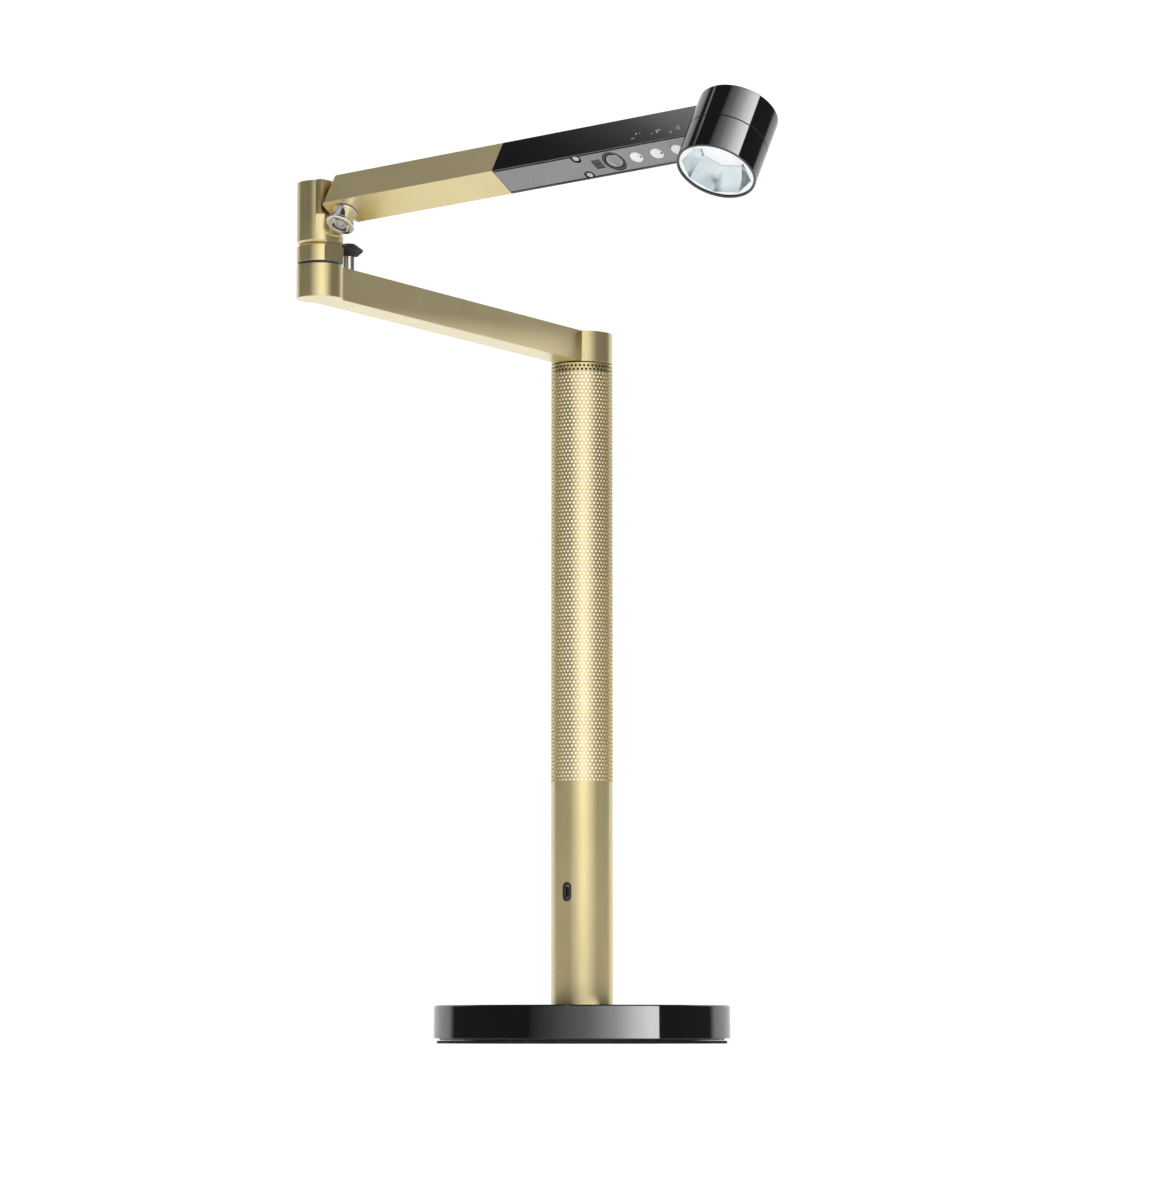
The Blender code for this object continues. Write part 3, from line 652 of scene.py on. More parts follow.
# %% [markdown]
# ## The elbow
#
# The elbow is turned from one bar in two lengths, a collar and a post, with a groove between them whose
# lips are chamfered. Flats are milled on the side of the upper arm: one across the collar and the foot of
# the post, and one higher up, where a square boss carries the roll joint. The post is bored for two steel
# spindles, the elbow's own and the one that the upper arm rolls on, so no shaft runs through solid metal.

# %% Elbow collar
collar_low, collar_high = measure("elbow_collar", elbow_axes)
post_low, post_high = measure("elbow_post", elbow_axes)
lip_depth = 0.0015
small = 0.00025
elbow_flat = collar_high.x
stem_radius = 0.0063
collar_profile = filleted([
    (stem_radius, collar_low.z, 0), (elbow_radius, collar_low.z, small),
    (elbow_radius, collar_high.z - lip_depth, small), (elbow_radius - lip_depth, collar_high.z, small),
    (stem_radius, collar_high.z, 0)])
ring_piece = turned("elbow_collar_skin", collar_profile, steps=128, crease=50)
subtract(ring_piece, block("collar_flat", (elbow_flat, -0.03, 0.50), (0.03, 0.03, 0.56)))
eased(ring_piece, 0.0002, angle=40, crease=50)
hand_over(ring_piece, "elbow", elbow_axes, satin_brass, "satin_brass", "elbow_collar")

# %% Elbow post
axis_height = upper_axes.translation.z
arm_low, arm_high = measure("upper_arm_tube", upper_axes)
arm_half = arm_high.z
boss_low = 0.5601
boss_half = 0.0135
tab_top = 0.5464
post_profile = filleted([
    (0, post_low.z, 0), (elbow_radius - lip_depth, post_low.z, small),
    (elbow_radius, post_low.z + lip_depth, small), (elbow_radius, post_high.z, 0.0005), (0, post_high.z, 0)])
post = turned("elbow_post_skin", post_profile, steps=128, crease=50)
square_diagonal = 1.4143
sweep_radius = arm_half * square_diagonal + 0.0008
sweep_tool = turned("roll_sweep", [(0, elbow_flat), (sweep_radius, elbow_flat),
                                   (sweep_radius, 0.03), (0, 0.03)], steps=96)
sweep_tool.data.transform(Matrix.Translation((0, 0, axis_height)) @ Matrix.Rotation(pi / 2, 4, "Y"))
subtract(post, block("low_flat", (elbow_flat, -0.03, 0.50), (0.03, 0.03, tab_top)),
         block("high_flat", (elbow_flat, -0.03, boss_low), (0.03, 0.03, 0.60)), sweep_tool)
weld(post, block("boss", (0.001, -boss_half, boss_low), (elbow_flat, boss_half, post_high.z - 0.00001)))
eased(post, 0.0002, angle=40, crease=50)
stem_bore = turned("stem_bore", [(0, 0.53), (stem_radius, 0.53), (stem_radius, 0.5512), (0, 0.5512)],
                   steps=64)
roll_radius = 0.0050
roll_bore = turned("roll_bore", [(0, 0.0005), (roll_radius, 0.0005), (roll_radius, 0.03), (0, 0.03)],
                   steps=64)
roll_bore.data.transform(elbow_axes.inverted() @ upper_axes @ Matrix.Rotation(pi / 2, 4, "Y"))
subtract(post, stem_bore)
subtract(post, roll_bore)
hand_over(post, "elbow", elbow_axes, satin_brass, "satin_brass", "elbow_post")

# %% [markdown]
# ## The upper arm
#
# The upper arm is a square bar with almost sharp edges. Where it meets the elbow its upright edges are
# rounded, so that it can swing past the post, and the far side is milled back for the same reason.

# %% Upper arm bar
corner = 0.0045
relief_depth, relief_end = 0.0046, 0.0297
start = arm_low.x
brass_end = arm_high.x
arm_outline = arc((start + corner, corner - arm_half), corner, pi, 1.5 * pi, 12)
arm_outline += [(brass_end, -arm_half), (brass_end, arm_half), (relief_end, arm_half),
                (relief_end, arm_half - relief_depth)]
arm_outline += arc((start + corner, arm_half - relief_depth - corner), corner, 0.5 * pi, pi, 12)
arm = extruded("upper_arm_skin", arm_outline, -arm_half, arm_half)
eased(arm, 0.0003, segments=2)
hand_over(arm, "upper_arm", upper_axes, satin_brass, "satin_brass", "upper_arm_tube")

# %% [markdown]
# A chromed knob under the arm clamps the roll joint. It is turned, with a slim waist and a flange at its
# end, and in the recess of that end sits the hexagon socket of the clamping bolt.

# %% Clamp knob and bolt
knob_low, knob_high = measure("clamp_knob", upper_axes)
knob_x = (knob_low.x + knob_high.x) / 2
flange = (knob_high.x - knob_low.x) / 2
tip = knob_low.z
knob_profile = filleted([
    (0.0024, knob_high.z, 0), (0.0086, knob_high.z, 0.0002), (0.0083, knob_high.z - 0.0012, 0.0003),
    (0.0083, tip + 0.0030, 0.0006), (flange, tip + 0.0018, 0.0003), (flange, tip + 0.0005, 0.0003),
    (flange - 0.0006, tip, 0.0002), (0.0070, tip, 0.0002), (0.0064, tip + 0.0030, 0.0002),
    (0.0024, tip + 0.0030, 0)])
knob = turned("clamp_knob_skin", knob_profile, steps=96, crease=40)
knob.data.transform(Matrix.Translation((knob_x, 0, 0)))
hand_over(knob, "upper_arm", upper_axes, chrome, "bright_metal", "clamp_knob")

bolt_low, bolt_high = measure("clamp_bolt", upper_axes)
bolt_radius = (bolt_high.x - bolt_low.x) / 2
shank = 0.0021
bolt_shoulder = bolt_low.z + 0.0021
bolt = turned("clamp_bolt_skin", filleted([
    (0, bolt_high.z, 0), (shank, bolt_high.z, 0.0002), (shank, bolt_shoulder, 0.0001),
    (bolt_radius, bolt_shoulder, 0.0002), (bolt_radius, bolt_low.z, 0.0004), (0, bolt_low.z, 0)]), steps=64)
socket_outline = arc((0, 0), 0.0029, 0, radians(300), 5)
hexagon = extruded("hexagon", socket_outline, bolt_low.z - 0.001, bolt_low.z + 0.0017)
subtract(bolt, hexagon)
eased(bolt, 0.00015, angle=45)
bolt.data.transform(Matrix.Translation((knob_x, 0, 0)))
hand_over(bolt, "upper_arm", upper_axes, steel, "steel", "clamp_bolt")

# %% [markdown]
# ## The control housing
#
# Beyond the brass the arm goes on in gloss black, as a moulded channel that is open below. The lips of the
# channel are chamfered towards the plate that closes it, which draws a light line on each side of the plate.
# The channel is extruded along the arm from its cross-section, then cut round to meet the head.

# %% Housing channel
housing_low = measure("head_housing", upper_axes)[0]
plate_low, plate_high = measure("control_plate", upper_axes)
barrel_low, barrel_high = measure("head_barrel_upper", upper_axes)
head_radius = (barrel_high.y - barrel_low.y) / 2
ledge = -0.0107
lip_inner = plate_high.y + gap
inner_half = 0.0090
section = filleted([
    (-arm_half, -arm_half, 0.0003), (-lip_inner - 0.0009, -arm_half, 0), (-lip_inner, -arm_half + 0.0007, 0),
    (-lip_inner, ledge, 0), (-inner_half, ledge, 0), (-inner_half, 0.0103, 0),
    (inner_half, 0.0103, 0), (inner_half, ledge, 0), (lip_inner, ledge, 0),
    (lip_inner, -arm_half + 0.0007, 0), (lip_inner + 0.0009, -arm_half, 0),
    (arm_half, -arm_half, 0.0003), (arm_half, arm_half, 0.0003), (-arm_half, arm_half, 0.0003)], steps=3)
housing = extruded("control_housing", section, housing_low.x, arm_reach - 0.005)
housing.data.transform(Matrix(((0, 0, 1, 0), (1, 0, 0, 0), (0, 1, 0, 0), (0, 0, 0, 1))))
room_radius = head_radius + gap
head_room = turned("head_room", [(0, -0.05), (room_radius, -0.05), (room_radius, 0.05), (0, 0.05)],
                   steps=192, at=(arm_reach, 0, 0))
wall_block = block("end_wall", (0.3240, -0.0095, ledge - 0.0001), (arm_reach - 0.006, 0.0095, 0.0110))
weld(housing, wall_block)
pipe_hole = turned("pipe_hole", [(0, 0.30), (0.0040, 0.30), (0.0040, 0.36), (0, 0.36)], steps=32)
pipe_hole.data.transform(Matrix.Translation((0, 0, 0.0045)) @ Matrix.Rotation(pi / 2, 4, "Y"))
subtract(housing, head_room, pipe_hole)
screw_low, screw_high = measure("plate_screw_near", upper_axes)
screw_x = (screw_low.x + screw_high.x) / 2
screw_y = -(screw_low.y + screw_high.y) / 2
for side in (-1, 1):
    boss = turned("screw_boss", [(0, -0.0110), (0.0036, -0.0110), (0.0036, 0.0105), (0, 0.0105)], steps=48,
                  at=(screw_x, side * screw_y, 0))
    weld(housing, boss)
    subtract(housing, turned("screw_seat", [(0, -0.02), (0.0025, -0.02), (0.0025, -0.0041), (0, -0.0041)],
                             steps=48, at=(screw_x, side * screw_y, 0)))
hand_over(housing, "upper_arm", upper_axes, gloss_black, "gloss_black_shell", "head_housing")

# %% [markdown]
# ## The grey plate and what sits in it
#
# The plate is stamped from sheet, so its outline and its openings are cut straight through and its edge is
# barely rounded. It holds two screws near its edges, a square window, an oval recess with the presence
# sensor's lens, and three buttons in a row.

# %% Plate
head_turn = asin(plate_high.y / (head_radius + gap))
plate_outline = [(plate_low.x, plate_high.y), (plate_low.x, plate_low.y)]
plate_outline += arc((arm_reach, 0), head_radius + gap, pi + head_turn, pi - head_turn, 32)
plate = extruded("control_plate_skin", plate_outline, plate_low.z, plate_high.z)
window_low, window_high = measure("sensor_window", upper_axes)
dish_low, dish_high = measure("sensor_dish", upper_axes)
lens_x = (dish_low.x + dish_high.x) / 2
dish_half_x = (dish_high.x - dish_low.x) / 2
button_nodes = ("button_dimmer", "button_presence", "button_tone")
button_places = [sum(measure(node, upper_axes), Vector()) / 2 for node in button_nodes]
button_low, button_high = measure(button_nodes[0], upper_axes)
button_radius = (button_high.y - button_low.y) / 2


def oval(centre, half_x, half_y, steps=64):
    turns = [2 * pi * step / steps for step in range(steps)]
    return [(centre[0] + half_x * cos(turn), centre[1] + half_y * sin(turn)) for turn in turns]


openings = [block("window_opening", (window_low.x - gap, window_low.y - gap, -0.02),
                  (window_high.x + gap, window_high.y + gap, -0.005)),
            extruded("dish_opening", oval((lens_x, 0), dish_half_x + gap, dish_high.y + gap), -0.02, -0.005)]
for side in (-1, 1):
    openings.append(turned("screw_clearance", [(0, -0.02), (0.0039, -0.02), (0.0039, -0.005), (0, -0.005)],
                           steps=48, at=(screw_x, side * screw_y, 0)))
for place in button_places:
    reach = button_radius + gap
    openings.append(turned("button_opening", [(0, -0.02), (reach, -0.02), (reach, -0.005), (0, -0.005)],
                           steps=64, at=(place.x, 0, 0)))
subtract(plate, *openings)
eased(plate, 0.00012, angle=50)
hand_over(plate, "upper_arm", upper_axes, satin_grey, "satin_grey_plate", "control_plate")

# %% Plate screws
for side, node in ((-1, "plate_screw_near"), (1, "plate_screw_far")):
    head = screw_low.z
    screw = turned(node + "_skin", filleted([
        (0, -0.0045, 0), (0.0011, -0.0045, 0), (0.0011, -0.0113, 0), (0.0021, -0.0113, 0),
        (0.0021, head, 0.0002), (0.0015, head, 0.0001), (0.0014, head + 0.0003, 0.0001),
        (0.0010, head + 0.0003, 0.0001), (0.0009, head, 0.0001), (0, head, 0)], steps=3), steps=48)
    subtract(screw, extruded("hexagon", arc((0, 0), 0.0010, 0, radians(300), 5), head - 0.001, head + 0.0012))
    screw.data.transform(Matrix.Translation((screw_x, side * screw_y, 0)))
    hand_over(screw, "upper_arm", upper_axes, steel, "steel", node)

# %% [markdown]
# The window is a chip of dark glass with a ridge across it. The sensor's lens is a dark glass dome in a
# black oval dish, held by a thin blackened ring.

# %% Window, dish, ring and lens
window_outline = filleted([
    (window_low.x, window_low.y, 0.0004), (window_high.x, window_low.y, 0.0004),
    (window_high.x, window_high.y, 0.0004), (window_low.x, window_high.y, 0.0004)])
window = extruded("sensor_window_skin", window_outline, window_low.z, window_high.z)
middle = (window_low + window_high) / 2
subtract(window, block("window_notch", (window_low.x + 0.0012, middle.y - 0.0002, window_low.z - 0.001),
                       (window_high.x - 0.0012, middle.y + 0.0002, window_low.z + 0.0003)))
eased(window, 0.00012, angle=45)
hand_over(window, "upper_arm", upper_axes, moulded, "gloss_black_shell", "sensor_window")

lens_low, lens_high = measure("sensor_lens", upper_axes)
lens_radius = (lens_high.y - lens_low.y) / 2
dish = extruded("sensor_dish_skin", oval((lens_x, 0), dish_half_x, dish_high.y), dish_low.z, dish_high.z)
bowl_mouth, bowl_floor = lens_radius + 0.0011, lens_radius + 0.0003
bowl = turned("bowl", [(0, -0.02), (bowl_mouth, -0.02), (bowl_mouth, dish_low.z), (bowl_floor, -0.0108),
                       (bowl_floor, -0.005), (0, -0.005)], steps=96, at=(lens_x, 0, 0))
subtract(dish, bowl)
eased(dish, 0.00015, angle=40)
hand_over(dish, "upper_arm", upper_axes, moulded, "black_plastic", "sensor_dish")

dome_rise = 0.0022
dome_base = lens_low.z + dome_rise
dome_turns = [radians(6 * step) for step in range(15)]
steps = [(lens_radius * cos(turn), dome_base - dome_rise * sin(turn)) for turn in dome_turns]
groove = 0.0004
dome = steps[:6] + [(steps[6][0], steps[6][1] + groove), (steps[7][0], steps[7][1] + groove)] + steps[8:]
lens_profile = [(0, lens_high.z), (lens_radius, lens_high.z)] + dome + [(0, lens_low.z)]
lens = turned("sensor_lens_skin", lens_profile, steps=96, crease=60)
lens.data.transform(Matrix.Translation((lens_x, 0, 0)))
hand_over(lens, "upper_arm", upper_axes, dark_glass, "clear_lens", "sensor_lens")

ring_middle = lens_radius + 0.0006
rim_profile = [(ring_middle + 0.0004 * cos(turn), dish_low.z + 0.0002 + 0.0004 * sin(turn))
               for turn in [2 * pi * step / 12 for step in range(12)]]
rim = turned("sensor_rim", rim_profile, steps=96)
rim.data.transform(Matrix.Translation((lens_x, 0, 0)))
hand_over(rim, "upper_arm", upper_axes, blackened, "bright_metal")

# %% [markdown]
# The three buttons are milky caps with a slightly hollow top, so that a finger finds their middle, and a
# small notch and a dark pointer at the edge that tell which way they face. Each rides on its own body,
# because it travels.

# %% Buttons
for node, place in zip(button_nodes, button_places):
    face = button_low.z
    hollow = [(button_radius * share, face + 0.00025 * (1 - share / 0.86) * (1 + share))
              for share in (0, 0.2, 0.4, 0.6, 0.8)]
    profile = [(0, button_high.z), (button_radius, button_high.z)] + arc(
        (button_radius - 0.0005, face + 0.0005), 0.0005, 0, -pi / 2, 5) + hollow[::-1]
    button = turned(node + "_cap", profile, steps=96)
    subtract(button, turned("notch", [(0, -0.02), (0.0008, -0.02), (0.0008, -0.0112), (0, -0.0112)], steps=24,
                            at=(button_radius - 0.0003, 0, 0)))
    button.data.transform(Matrix.Translation((place.x, 0, 0)))
    hand_over(button, node, upper_axes, button_white, "white_diffuser", node)
    pointer_x = place.x + button_radius - 0.0013
    pointer_profile = [(0, face - 0.00005), (0.0007, face - 0.00005),
                       (0.0007, face + 0.0004), (0, face + 0.0004)]
    pointer = turned(node + "_pointer", pointer_profile, steps=24, at=(pointer_x, 0, 0))
    hand_over(pointer, node, upper_axes, moulded, "black_plastic")

# %% [markdown]
# Small printed marks on the housing's side say what each button does. They are generic signs without any
# letters: a dot and a dash for brightness, a dot under two arcs for presence, and a cool and a warm wedge
# for the tone of the light. Each is a paper-thin plate, so that it stays crisp at any distance.

# %% Printed marks
ink = {"patch": 800, "grain": 4000, "depth": 0.01}
print_white = layered("print_white", ((0.62, 0.62, 0.62), (0.70, 0.70, 0.70)), (0.4, 0.5), **ink)
print_blue = layered("print_blue", ((0.07, 0.22, 0.36), (0.09, 0.27, 0.42)), (0.4, 0.5), **ink)
print_amber = layered("print_amber", ((0.52, 0.33, 0.12), (0.60, 0.39, 0.15)), (0.4, 0.5), **ink)
mark_thickness = 0.00004
side_face = Matrix(((1, 0, 0, 0), (0, 0, 1, -arm_half - mark_thickness), (0, 1, 0, 0), (0, 0, 0, 1)))


def printed(name, outlines, look):
    """Flat marks on the housing's near side, from outlines of (along, up) points."""
    work = bmesh.new()
    for outline in outlines:
        face = work.faces.new([work.verts.new((x, z, 0)) for x, z in outline])
        grown = bmesh.ops.extrude_face_region(work, geom=[face])
        lifted = [part for part in grown["geom"] if isinstance(part, bmesh.types.BMVert)]
        bmesh.ops.translate(work, verts=lifted, vec=(0, 0, mark_thickness))
    mark = solid(name, work)
    mark.data.transform(side_face)
    mark.data.flip_normals()
    return hand_over(mark, "upper_arm", upper_axes, look, "white_diffuser")


def crescent(centre, radius, width, middle_turn, half_turn, steps=10):
    outer = arc(centre, radius, middle_turn - half_turn, middle_turn + half_turn, steps)
    inner = arc(centre, radius - width, middle_turn + half_turn, middle_turn - half_turn, steps)
    return outer + inner


def dash(x, z, half_x, half_z):
    return [(x - half_x, z - half_z), (x + half_x, z - half_z),
            (x + half_x, z + half_z), (x - half_x, z + half_z)]


bright_x, presence_x, tone_x = [place.x + 0.0046 for place in button_places]
mark_z = -0.0044
printed("mark_brightness", [
    oval((bright_x, mark_z + 0.001), 0.0006, 0.0006, 20),
    dash(bright_x + 0.0028, mark_z + 0.0012, 0.0006, 0.0002),
    dash(bright_x - 0.0012, mark_z - 0.0025, 0.0016, 0.00015)], print_white)
dot = (presence_x + 0.0012, mark_z - 0.0012)
arcs = [crescent(dot, radius, 0.0004, pi / 2, radians(50)) for radius in (0.0016, 0.0027)]
printed("mark_presence", [oval(dot, 0.0005, 0.0005, 20)] + arcs
        + [dash(presence_x - 0.0028, mark_z - 0.0016, 0.0008, 0.00015)], print_white)
printed("mark_cool_tone", [
    [(tone_x - 0.0018, mark_z - 0.001), (tone_x + 0.0010, mark_z - 0.001),
     (tone_x + 0.0010, mark_z + 0.0030)]],
        print_blue)
printed("mark_warm_tone", [
    [(tone_x + 0.0014, mark_z + 0.0016), (tone_x + 0.0014, mark_z - 0.002),
     (tone_x + 0.0030, mark_z - 0.002)],
    [(tone_x - 0.0045, mark_z - 0.0036), (tone_x - 0.0025, mark_z - 0.0036),
     (tone_x - 0.0035, mark_z - 0.0018)]],
        print_amber)

# %% [markdown]
# ## The lamp head
#
# The head is a drum in two halves that meet in a thin joint line, where the lower half unscrews. Both halves
# are turned. The rim of the lower half is a fine rounded lip round the mouth.

# %% Head barrels
lower_low, lower_high = measure("head_barrel_lower", upper_axes)
head_wall = 0.0015
head_inside = head_radius - head_wall
crown = turned("head_top_skin", filleted([
    (head_inside, barrel_low.z, 0), (head_radius, barrel_low.z, 0.00015),
    (head_radius, barrel_high.z, 0.0008), (0, barrel_high.z, 0),
    (0, barrel_high.z - head_wall, 0), (head_inside, barrel_high.z - head_wall, 0)]),
    steps=224, crease=40)
crown_pipe = turned("crown_pipe", [(0, 0.30), (0.0040, 0.30), (0.0040, 0.345), (0, 0.345)], steps=32)
crown_pipe.data.transform(Matrix.Translation((-arm_reach, 0, 0.0045)) @ Matrix.Rotation(pi / 2, 4, "Y"))
subtract(crown, crown_pipe)
crown.data.transform(Matrix.Translation((arm_reach, 0, 0)))
hand_over(crown, "upper_arm", upper_axes, gloss_black, "gloss_black_shell", "head_barrel_upper")

skirt = turned("head_lower_skin", filleted([
    (head_inside, lower_low.z, 0.0003), (head_radius, lower_low.z, 0.0006),
    (head_radius, lower_high.z, 0.00015), (head_inside, lower_high.z, 0)]), steps=224, crease=50)
skirt.data.transform(Matrix.Translation((arm_reach, 0, 0)))
hand_over(skirt, "upper_arm", upper_axes, gloss_black, "gloss_black_shell", "head_barrel_lower")

# %% [markdown]
# Inside the mouth sits the reflector. It has a flat round rim with an eight-sided opening, and its walls go
# up in two tiers of flat facets to a milky plate in front of the lamp. Flat facets mix the light better than
# a smooth cone, and each of them mirrors a different part of the room, so they all show different tones.

# %% Reflector
cup_low, cup_high = measure("reflector", upper_axes)
cup_radius = (cup_high.y - cup_low.y) / 2
facets = 8
facet_turn = radians(-6)
tiers = ((0.0229, cup_low.z), (0.0216, cup_low.z + 0.0093), (0.0180, cup_low.z + 0.0176),
         (0.0176, cup_high.z - 0.0003))
facet_turns = [facet_turn + 2 * pi * number / facets for number in range(facets)]


def facet_ring(work, radius, height):
    return [work.verts.new((radius * cos(turn), radius * sin(turn), height)) for turn in facet_turns]


work = bmesh.new()
rings = [facet_ring(work, radius, height) for radius, height in tiers]
rim_steps = 12
rim_turns = [facet_turn + 2 * pi * step / (facets * rim_steps) for step in range(facets * rim_steps)]
rim_low = [work.verts.new((cup_radius * cos(turn), cup_radius * sin(turn), cup_low.z)) for turn in rim_turns]
rim_top = cup_high.z - 0.0003
rim_high = [work.verts.new((cup_radius * cos(turn), cup_radius * sin(turn), rim_top)) for turn in rim_turns]
for number in range(facets):
    ahead = (number + 1) % facets
    for inner, outer in zip(rings, rings[1:]):
        work.faces.new((inner[number], inner[ahead], outer[ahead], outer[number]))
    stretch = [rim_low[(number * rim_steps + step) % len(rim_low)] for step in range(rim_steps + 1)]
    work.faces.new([rings[0][ahead], rings[0][number]] + stretch)
    stretch = [rim_high[(number * rim_steps + step) % len(rim_high)] for step in range(rim_steps + 1)]
    work.faces.new([rings[-1][ahead], rings[-1][number]] + stretch)
for step in range(len(rim_low)):
    ahead = (step + 1) % len(rim_low)
    work.faces.new((rim_low[step], rim_low[ahead], rim_high[ahead], rim_high[step]))
reflector = solid("reflector_facets", work, crease=20)
reflector.data.transform(Matrix.Translation((arm_reach, 0, 0)))
hand_over(reflector, "upper_arm", upper_axes, mirror, "mirror_reflector", "reflector")

# %% [markdown]
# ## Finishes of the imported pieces
#
# The pieces that stay as packed are small or sit inside: washers, axles, boards, the iron weight, the light
# guide. Their shapes are right, so they only get their finishes.

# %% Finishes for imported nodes
packed_looks = {
    moulded: ("base_plate", "pole_plug", "power_inlet", "port_bezel", "port_tongue", "arm_harness",
              "swing_washer", "elbow_washer", "roll_washer", "head_joint_ring"),
    steel: ("pole_hub", "pole_nut", "plate_screw_1", "plate_screw_2", "plate_screw_3", "pole_core",
            "swing_axle", "swing_circlip", "elbow_spindle", "roll_spindle"),
    machined: ("heat_sink",), cast_iron: ("base_weight",), chrome: ("port_shell",),
    contact: ("inlet_pin",), board: ("driver_board", "pole_light_board", "control_board"),
    light_guide: ("light_guide",), diffuser_painted_glow: ("led_diffuser",), rubber: ("button_mat",),
    copper: ("heat_pipe",), phosphor: ("led_module",)}
for look, nodes in packed_looks.items():
    for node in nodes:
        for holder in frame["nodes"][node].material_slots:
            holder.material = look
finished = {node for nodes in packed_looks.values() for node in nodes}
shown = {node for node, thing in frame["nodes"].items() if not thing.hide_render}
print("packed nodes finished:", len(finished), "left over:", sorted(shown - finished))

# %% [markdown]
# ## Floor and light
#
# The lamp stands on a plain pale floor in front of a white backdrop. Gloss black and satin brass want
# different light: black shows only sharp reflections and needs one bright, graded panel, while the same
# panel would burn out the brass. A studio would light them one after the other. Light linking does the same
# in one picture: each panel is told which pieces it lights.

# %% Floor
floor_look = layered("pale_floor", ((0.86, 0.86, 0.86), (0.88, 0.88, 0.88)), (0.9, 1.0), patch=1.5, grain=200,
                     depth=0.05, Specular_IOR_Level=0.1)
floor = extruded("floor", arc((0, 0), 30, 0, 2 * pi - pi / 48, 95), -0.02, 0)
floor.data.materials.append(floor_look)
print("floor", round(floor.dimensions.x, 1), "m across")

# %% World
world = bpy.data.worlds.new("studio")
bpy.context.scene.world = world
world.use_nodes = True
sky = world.node_tree
sky.nodes.clear()
heading = sky.nodes.new("ShaderNodeTexCoord")
split = sky.nodes.new("ShaderNodeSeparateXYZ")
backdrop = sky.nodes.new("ShaderNodeMapRange")
backdrop.inputs["From Min"].default_value = 0.46
backdrop.inputs["From Max"].default_value = 0.58
backdrop.inputs["To Min"].default_value = 0.07
backdrop.inputs["To Max"].default_value = 1.05
path = sky.nodes.new("ShaderNodeLightPath")
strength = sky.nodes.new("ShaderNodeMix")
strength.inputs["B"].default_value = 1.1
glow = sky.nodes.new("ShaderNodeBackground")
glow.inputs["Color"].default_value = (1, 1, 1, 1)
out = sky.nodes.new("ShaderNodeOutputWorld")
sky.links.new(heading.outputs["Generated"], split.inputs["Vector"])
sky.links.new(split.outputs["Y"], backdrop.inputs["Value"])
sky.links.new(path.outputs["Is Camera Ray"], strength.inputs["Factor"])
sky.links.new(backdrop.outputs["Result"], strength.inputs["A"])
sky.links.new(strength.outputs["Result"], glow.inputs["Strength"])
sky.links.new(glow.outputs["Background"], out.inputs["Surface"])
print("backdrop set")


# %% Light panels
def panel(name, corner, along, up, stops, upwards=False):
    """A rectangular light seen from the lamp; stops grade its brightness along it, or upwards."""
    corner, along, up = Vector(corner), Vector(along), Vector(up)
    light = bpy.data.lights.new(name, "AREA")
    light.shape = "RECTANGLE"
    light.size = along.length
    light.size_y = up.length
    light.energy = pi * along.length * up.length
    light.use_nodes = True
    tree = light.node_tree
    tree.nodes.clear()
    spot = tree.nodes.new("ShaderNodeNewGeometry")
    split = tree.nodes.new("ShaderNodeSeparateXYZ")
    grade = tree.nodes.new("ShaderNodeValToRGB")
    brightest = max(value for _, value in stops)
    for position, _ in stops[1:-1]:
        grade.color_ramp.elements.new(position)
    for element, (position, value) in zip(grade.color_ramp.elements, stops):
        element.position = position
        element.color = (value / brightest, value / brightest, value / brightest, 1)
    glow = tree.nodes.new("ShaderNodeEmission")
    glow.inputs["Strength"].default_value = brightest
    out = tree.nodes.new("ShaderNodeOutputLight")
    tree.links.new(spot.outputs["Parametric"], split.inputs["Vector"])
    tree.links.new(split.outputs["Y" if upwards else "X"], grade.inputs["Fac"])
    tree.links.new(grade.outputs["Color"], glow.inputs["Color"])
    tree.links.new(glow.outputs["Emission"], out.inputs["Surface"])
    made = bpy.data.objects.new(name, light)
    bpy.context.scene.collection.objects.link(made)
    across, rise = along.normalized(), up.normalized()
    facing = across.cross(rise)
    middle = corner + along / 2 + up / 2
    made.matrix_world = Matrix((across, rise, facing)).transposed().to_4x4()
    made.location = middle
    made.visible_camera = False
    return made


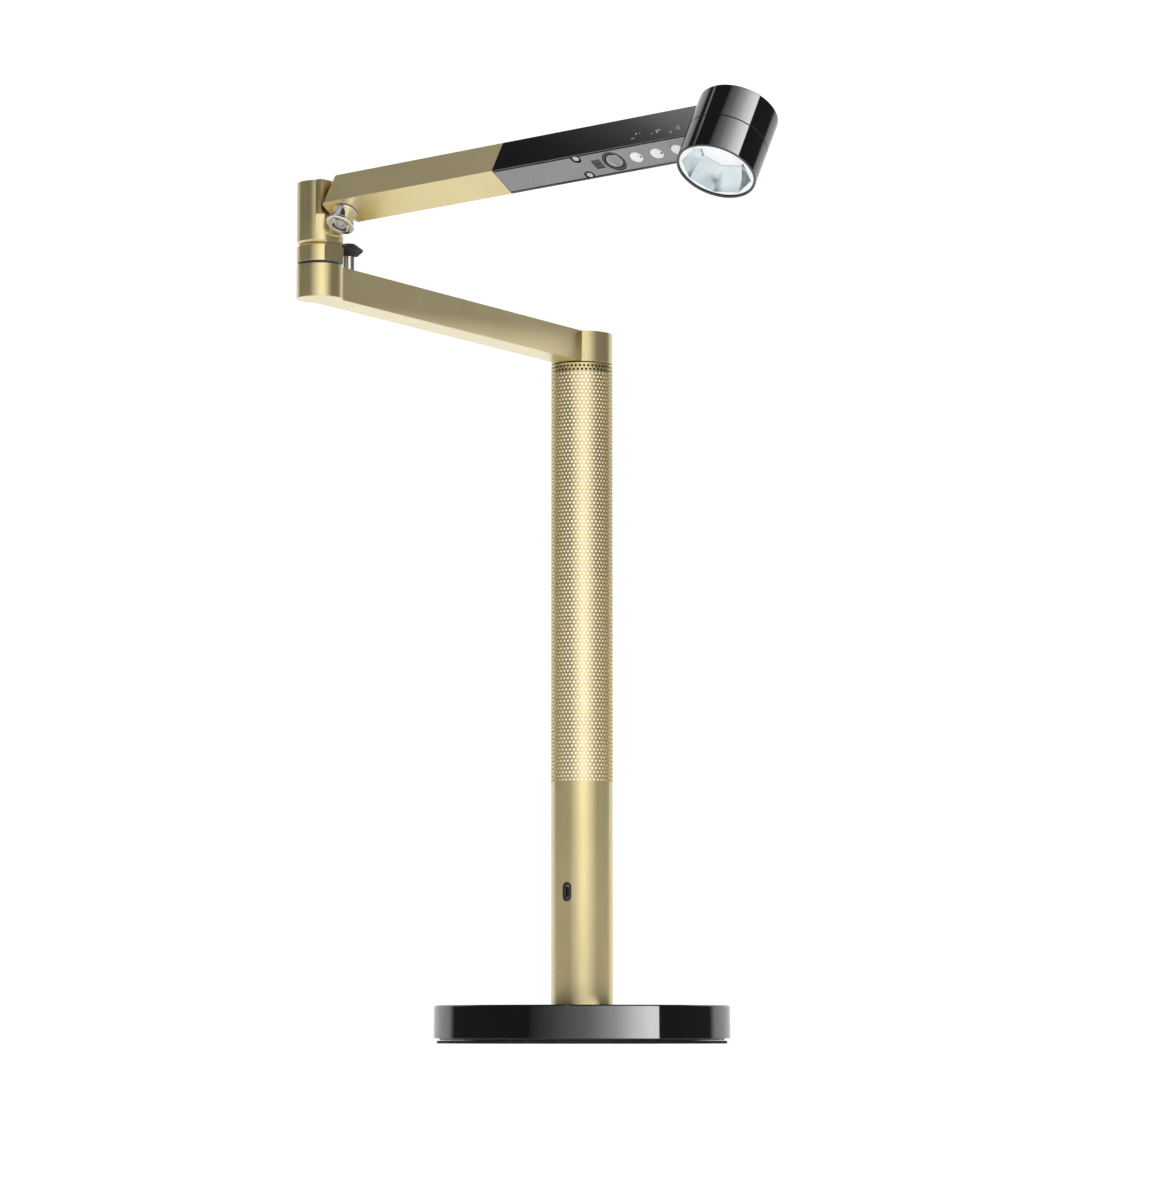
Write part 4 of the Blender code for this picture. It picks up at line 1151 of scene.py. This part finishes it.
panel_grade = [(0.0, 0.05), (0.2, 0.4), (0.42, 1.15), (0.58, 3.1), (0.7, 5.6), (0.86, 7.4)]
base_strip = panel("base_strip", (-1.67, -1.99, 0), (4.27, 0.52, 0), (0, 0, 0.25), panel_grade)
head_panel = panel("head_panel", (-1.67, -1.99, 1.7), (4.27, 0.52, 0), (0, 0, 2.9), panel_grade)
side_spot = panel("side_panel", (-2.8, 0.3, 3.9), (0.4, 0, 0), (0, 0.7, 0),
                  [(0.0, 0.0), (0.18, 0.02), (0.38, 0.12), (0.58, 0.36), (0.7, 0.85), (1.0, 1.6)])
brass_front = panel("front_panel", (-1.55, -1.99, 0.02), (3.8, 0.23, 0), (0, 0, 2.2),
                    [(0.0, 0.3), (0.2, 0.65), (0.36, 1.3), (0.44, 1.6), (0.56, 1.3), (0.74, 0.7), (1.0, 0.2)])
brass_left = panel("left_panel", (-2.6, 1.1, 0), (0, -3.0, 0), (0, 0, 5.0),
                   [(0.0, 0.06), (0.45, 0.2), (0.8, 0.5)], True)
brass_right = panel("right_panel", (2.9, -1.3, 0), (0, 2.6, 0), (0, 0, 3.5), [(0.0, 0.1), (1.0, 0.1)])
brass_top = panel("top_panel", (-2.2, -1.8, 4.0), (4.4, 0, 0), (0, 3.6, 0), [(0.0, 0.5), (1.0, 0.5)])
print("panels ready")

# %% Floor light and light linking
overhead = bpy.data.objects.new("floor_light", bpy.data.lights.new("floor_light", "SUN"))
bpy.context.scene.collection.objects.link(overhead)
overhead.data.energy = 3.6
overhead.data.angle = radians(50)
overhead.rotation_euler = (radians(8), radians(-6), 0)

black_pieces = bpy.data.collections.new("lit_black")
other_pieces = bpy.data.collections.new("lit_other")
ground = bpy.data.collections.new("lit_ground")
for piece, look in pieces:
    (black_pieces if look == gloss_black else other_pieces).objects.link(piece)
for node in finished:
    other_pieces.objects.link(frame["nodes"][node])
ground.objects.link(floor)
for light in (base_strip, head_panel, side_spot):
    light.light_linking.receiver_collection = black_pieces
for light in (brass_front, brass_left, brass_right, brass_top):
    light.light_linking.receiver_collection = other_pieces
overhead.light_linking.receiver_collection = ground
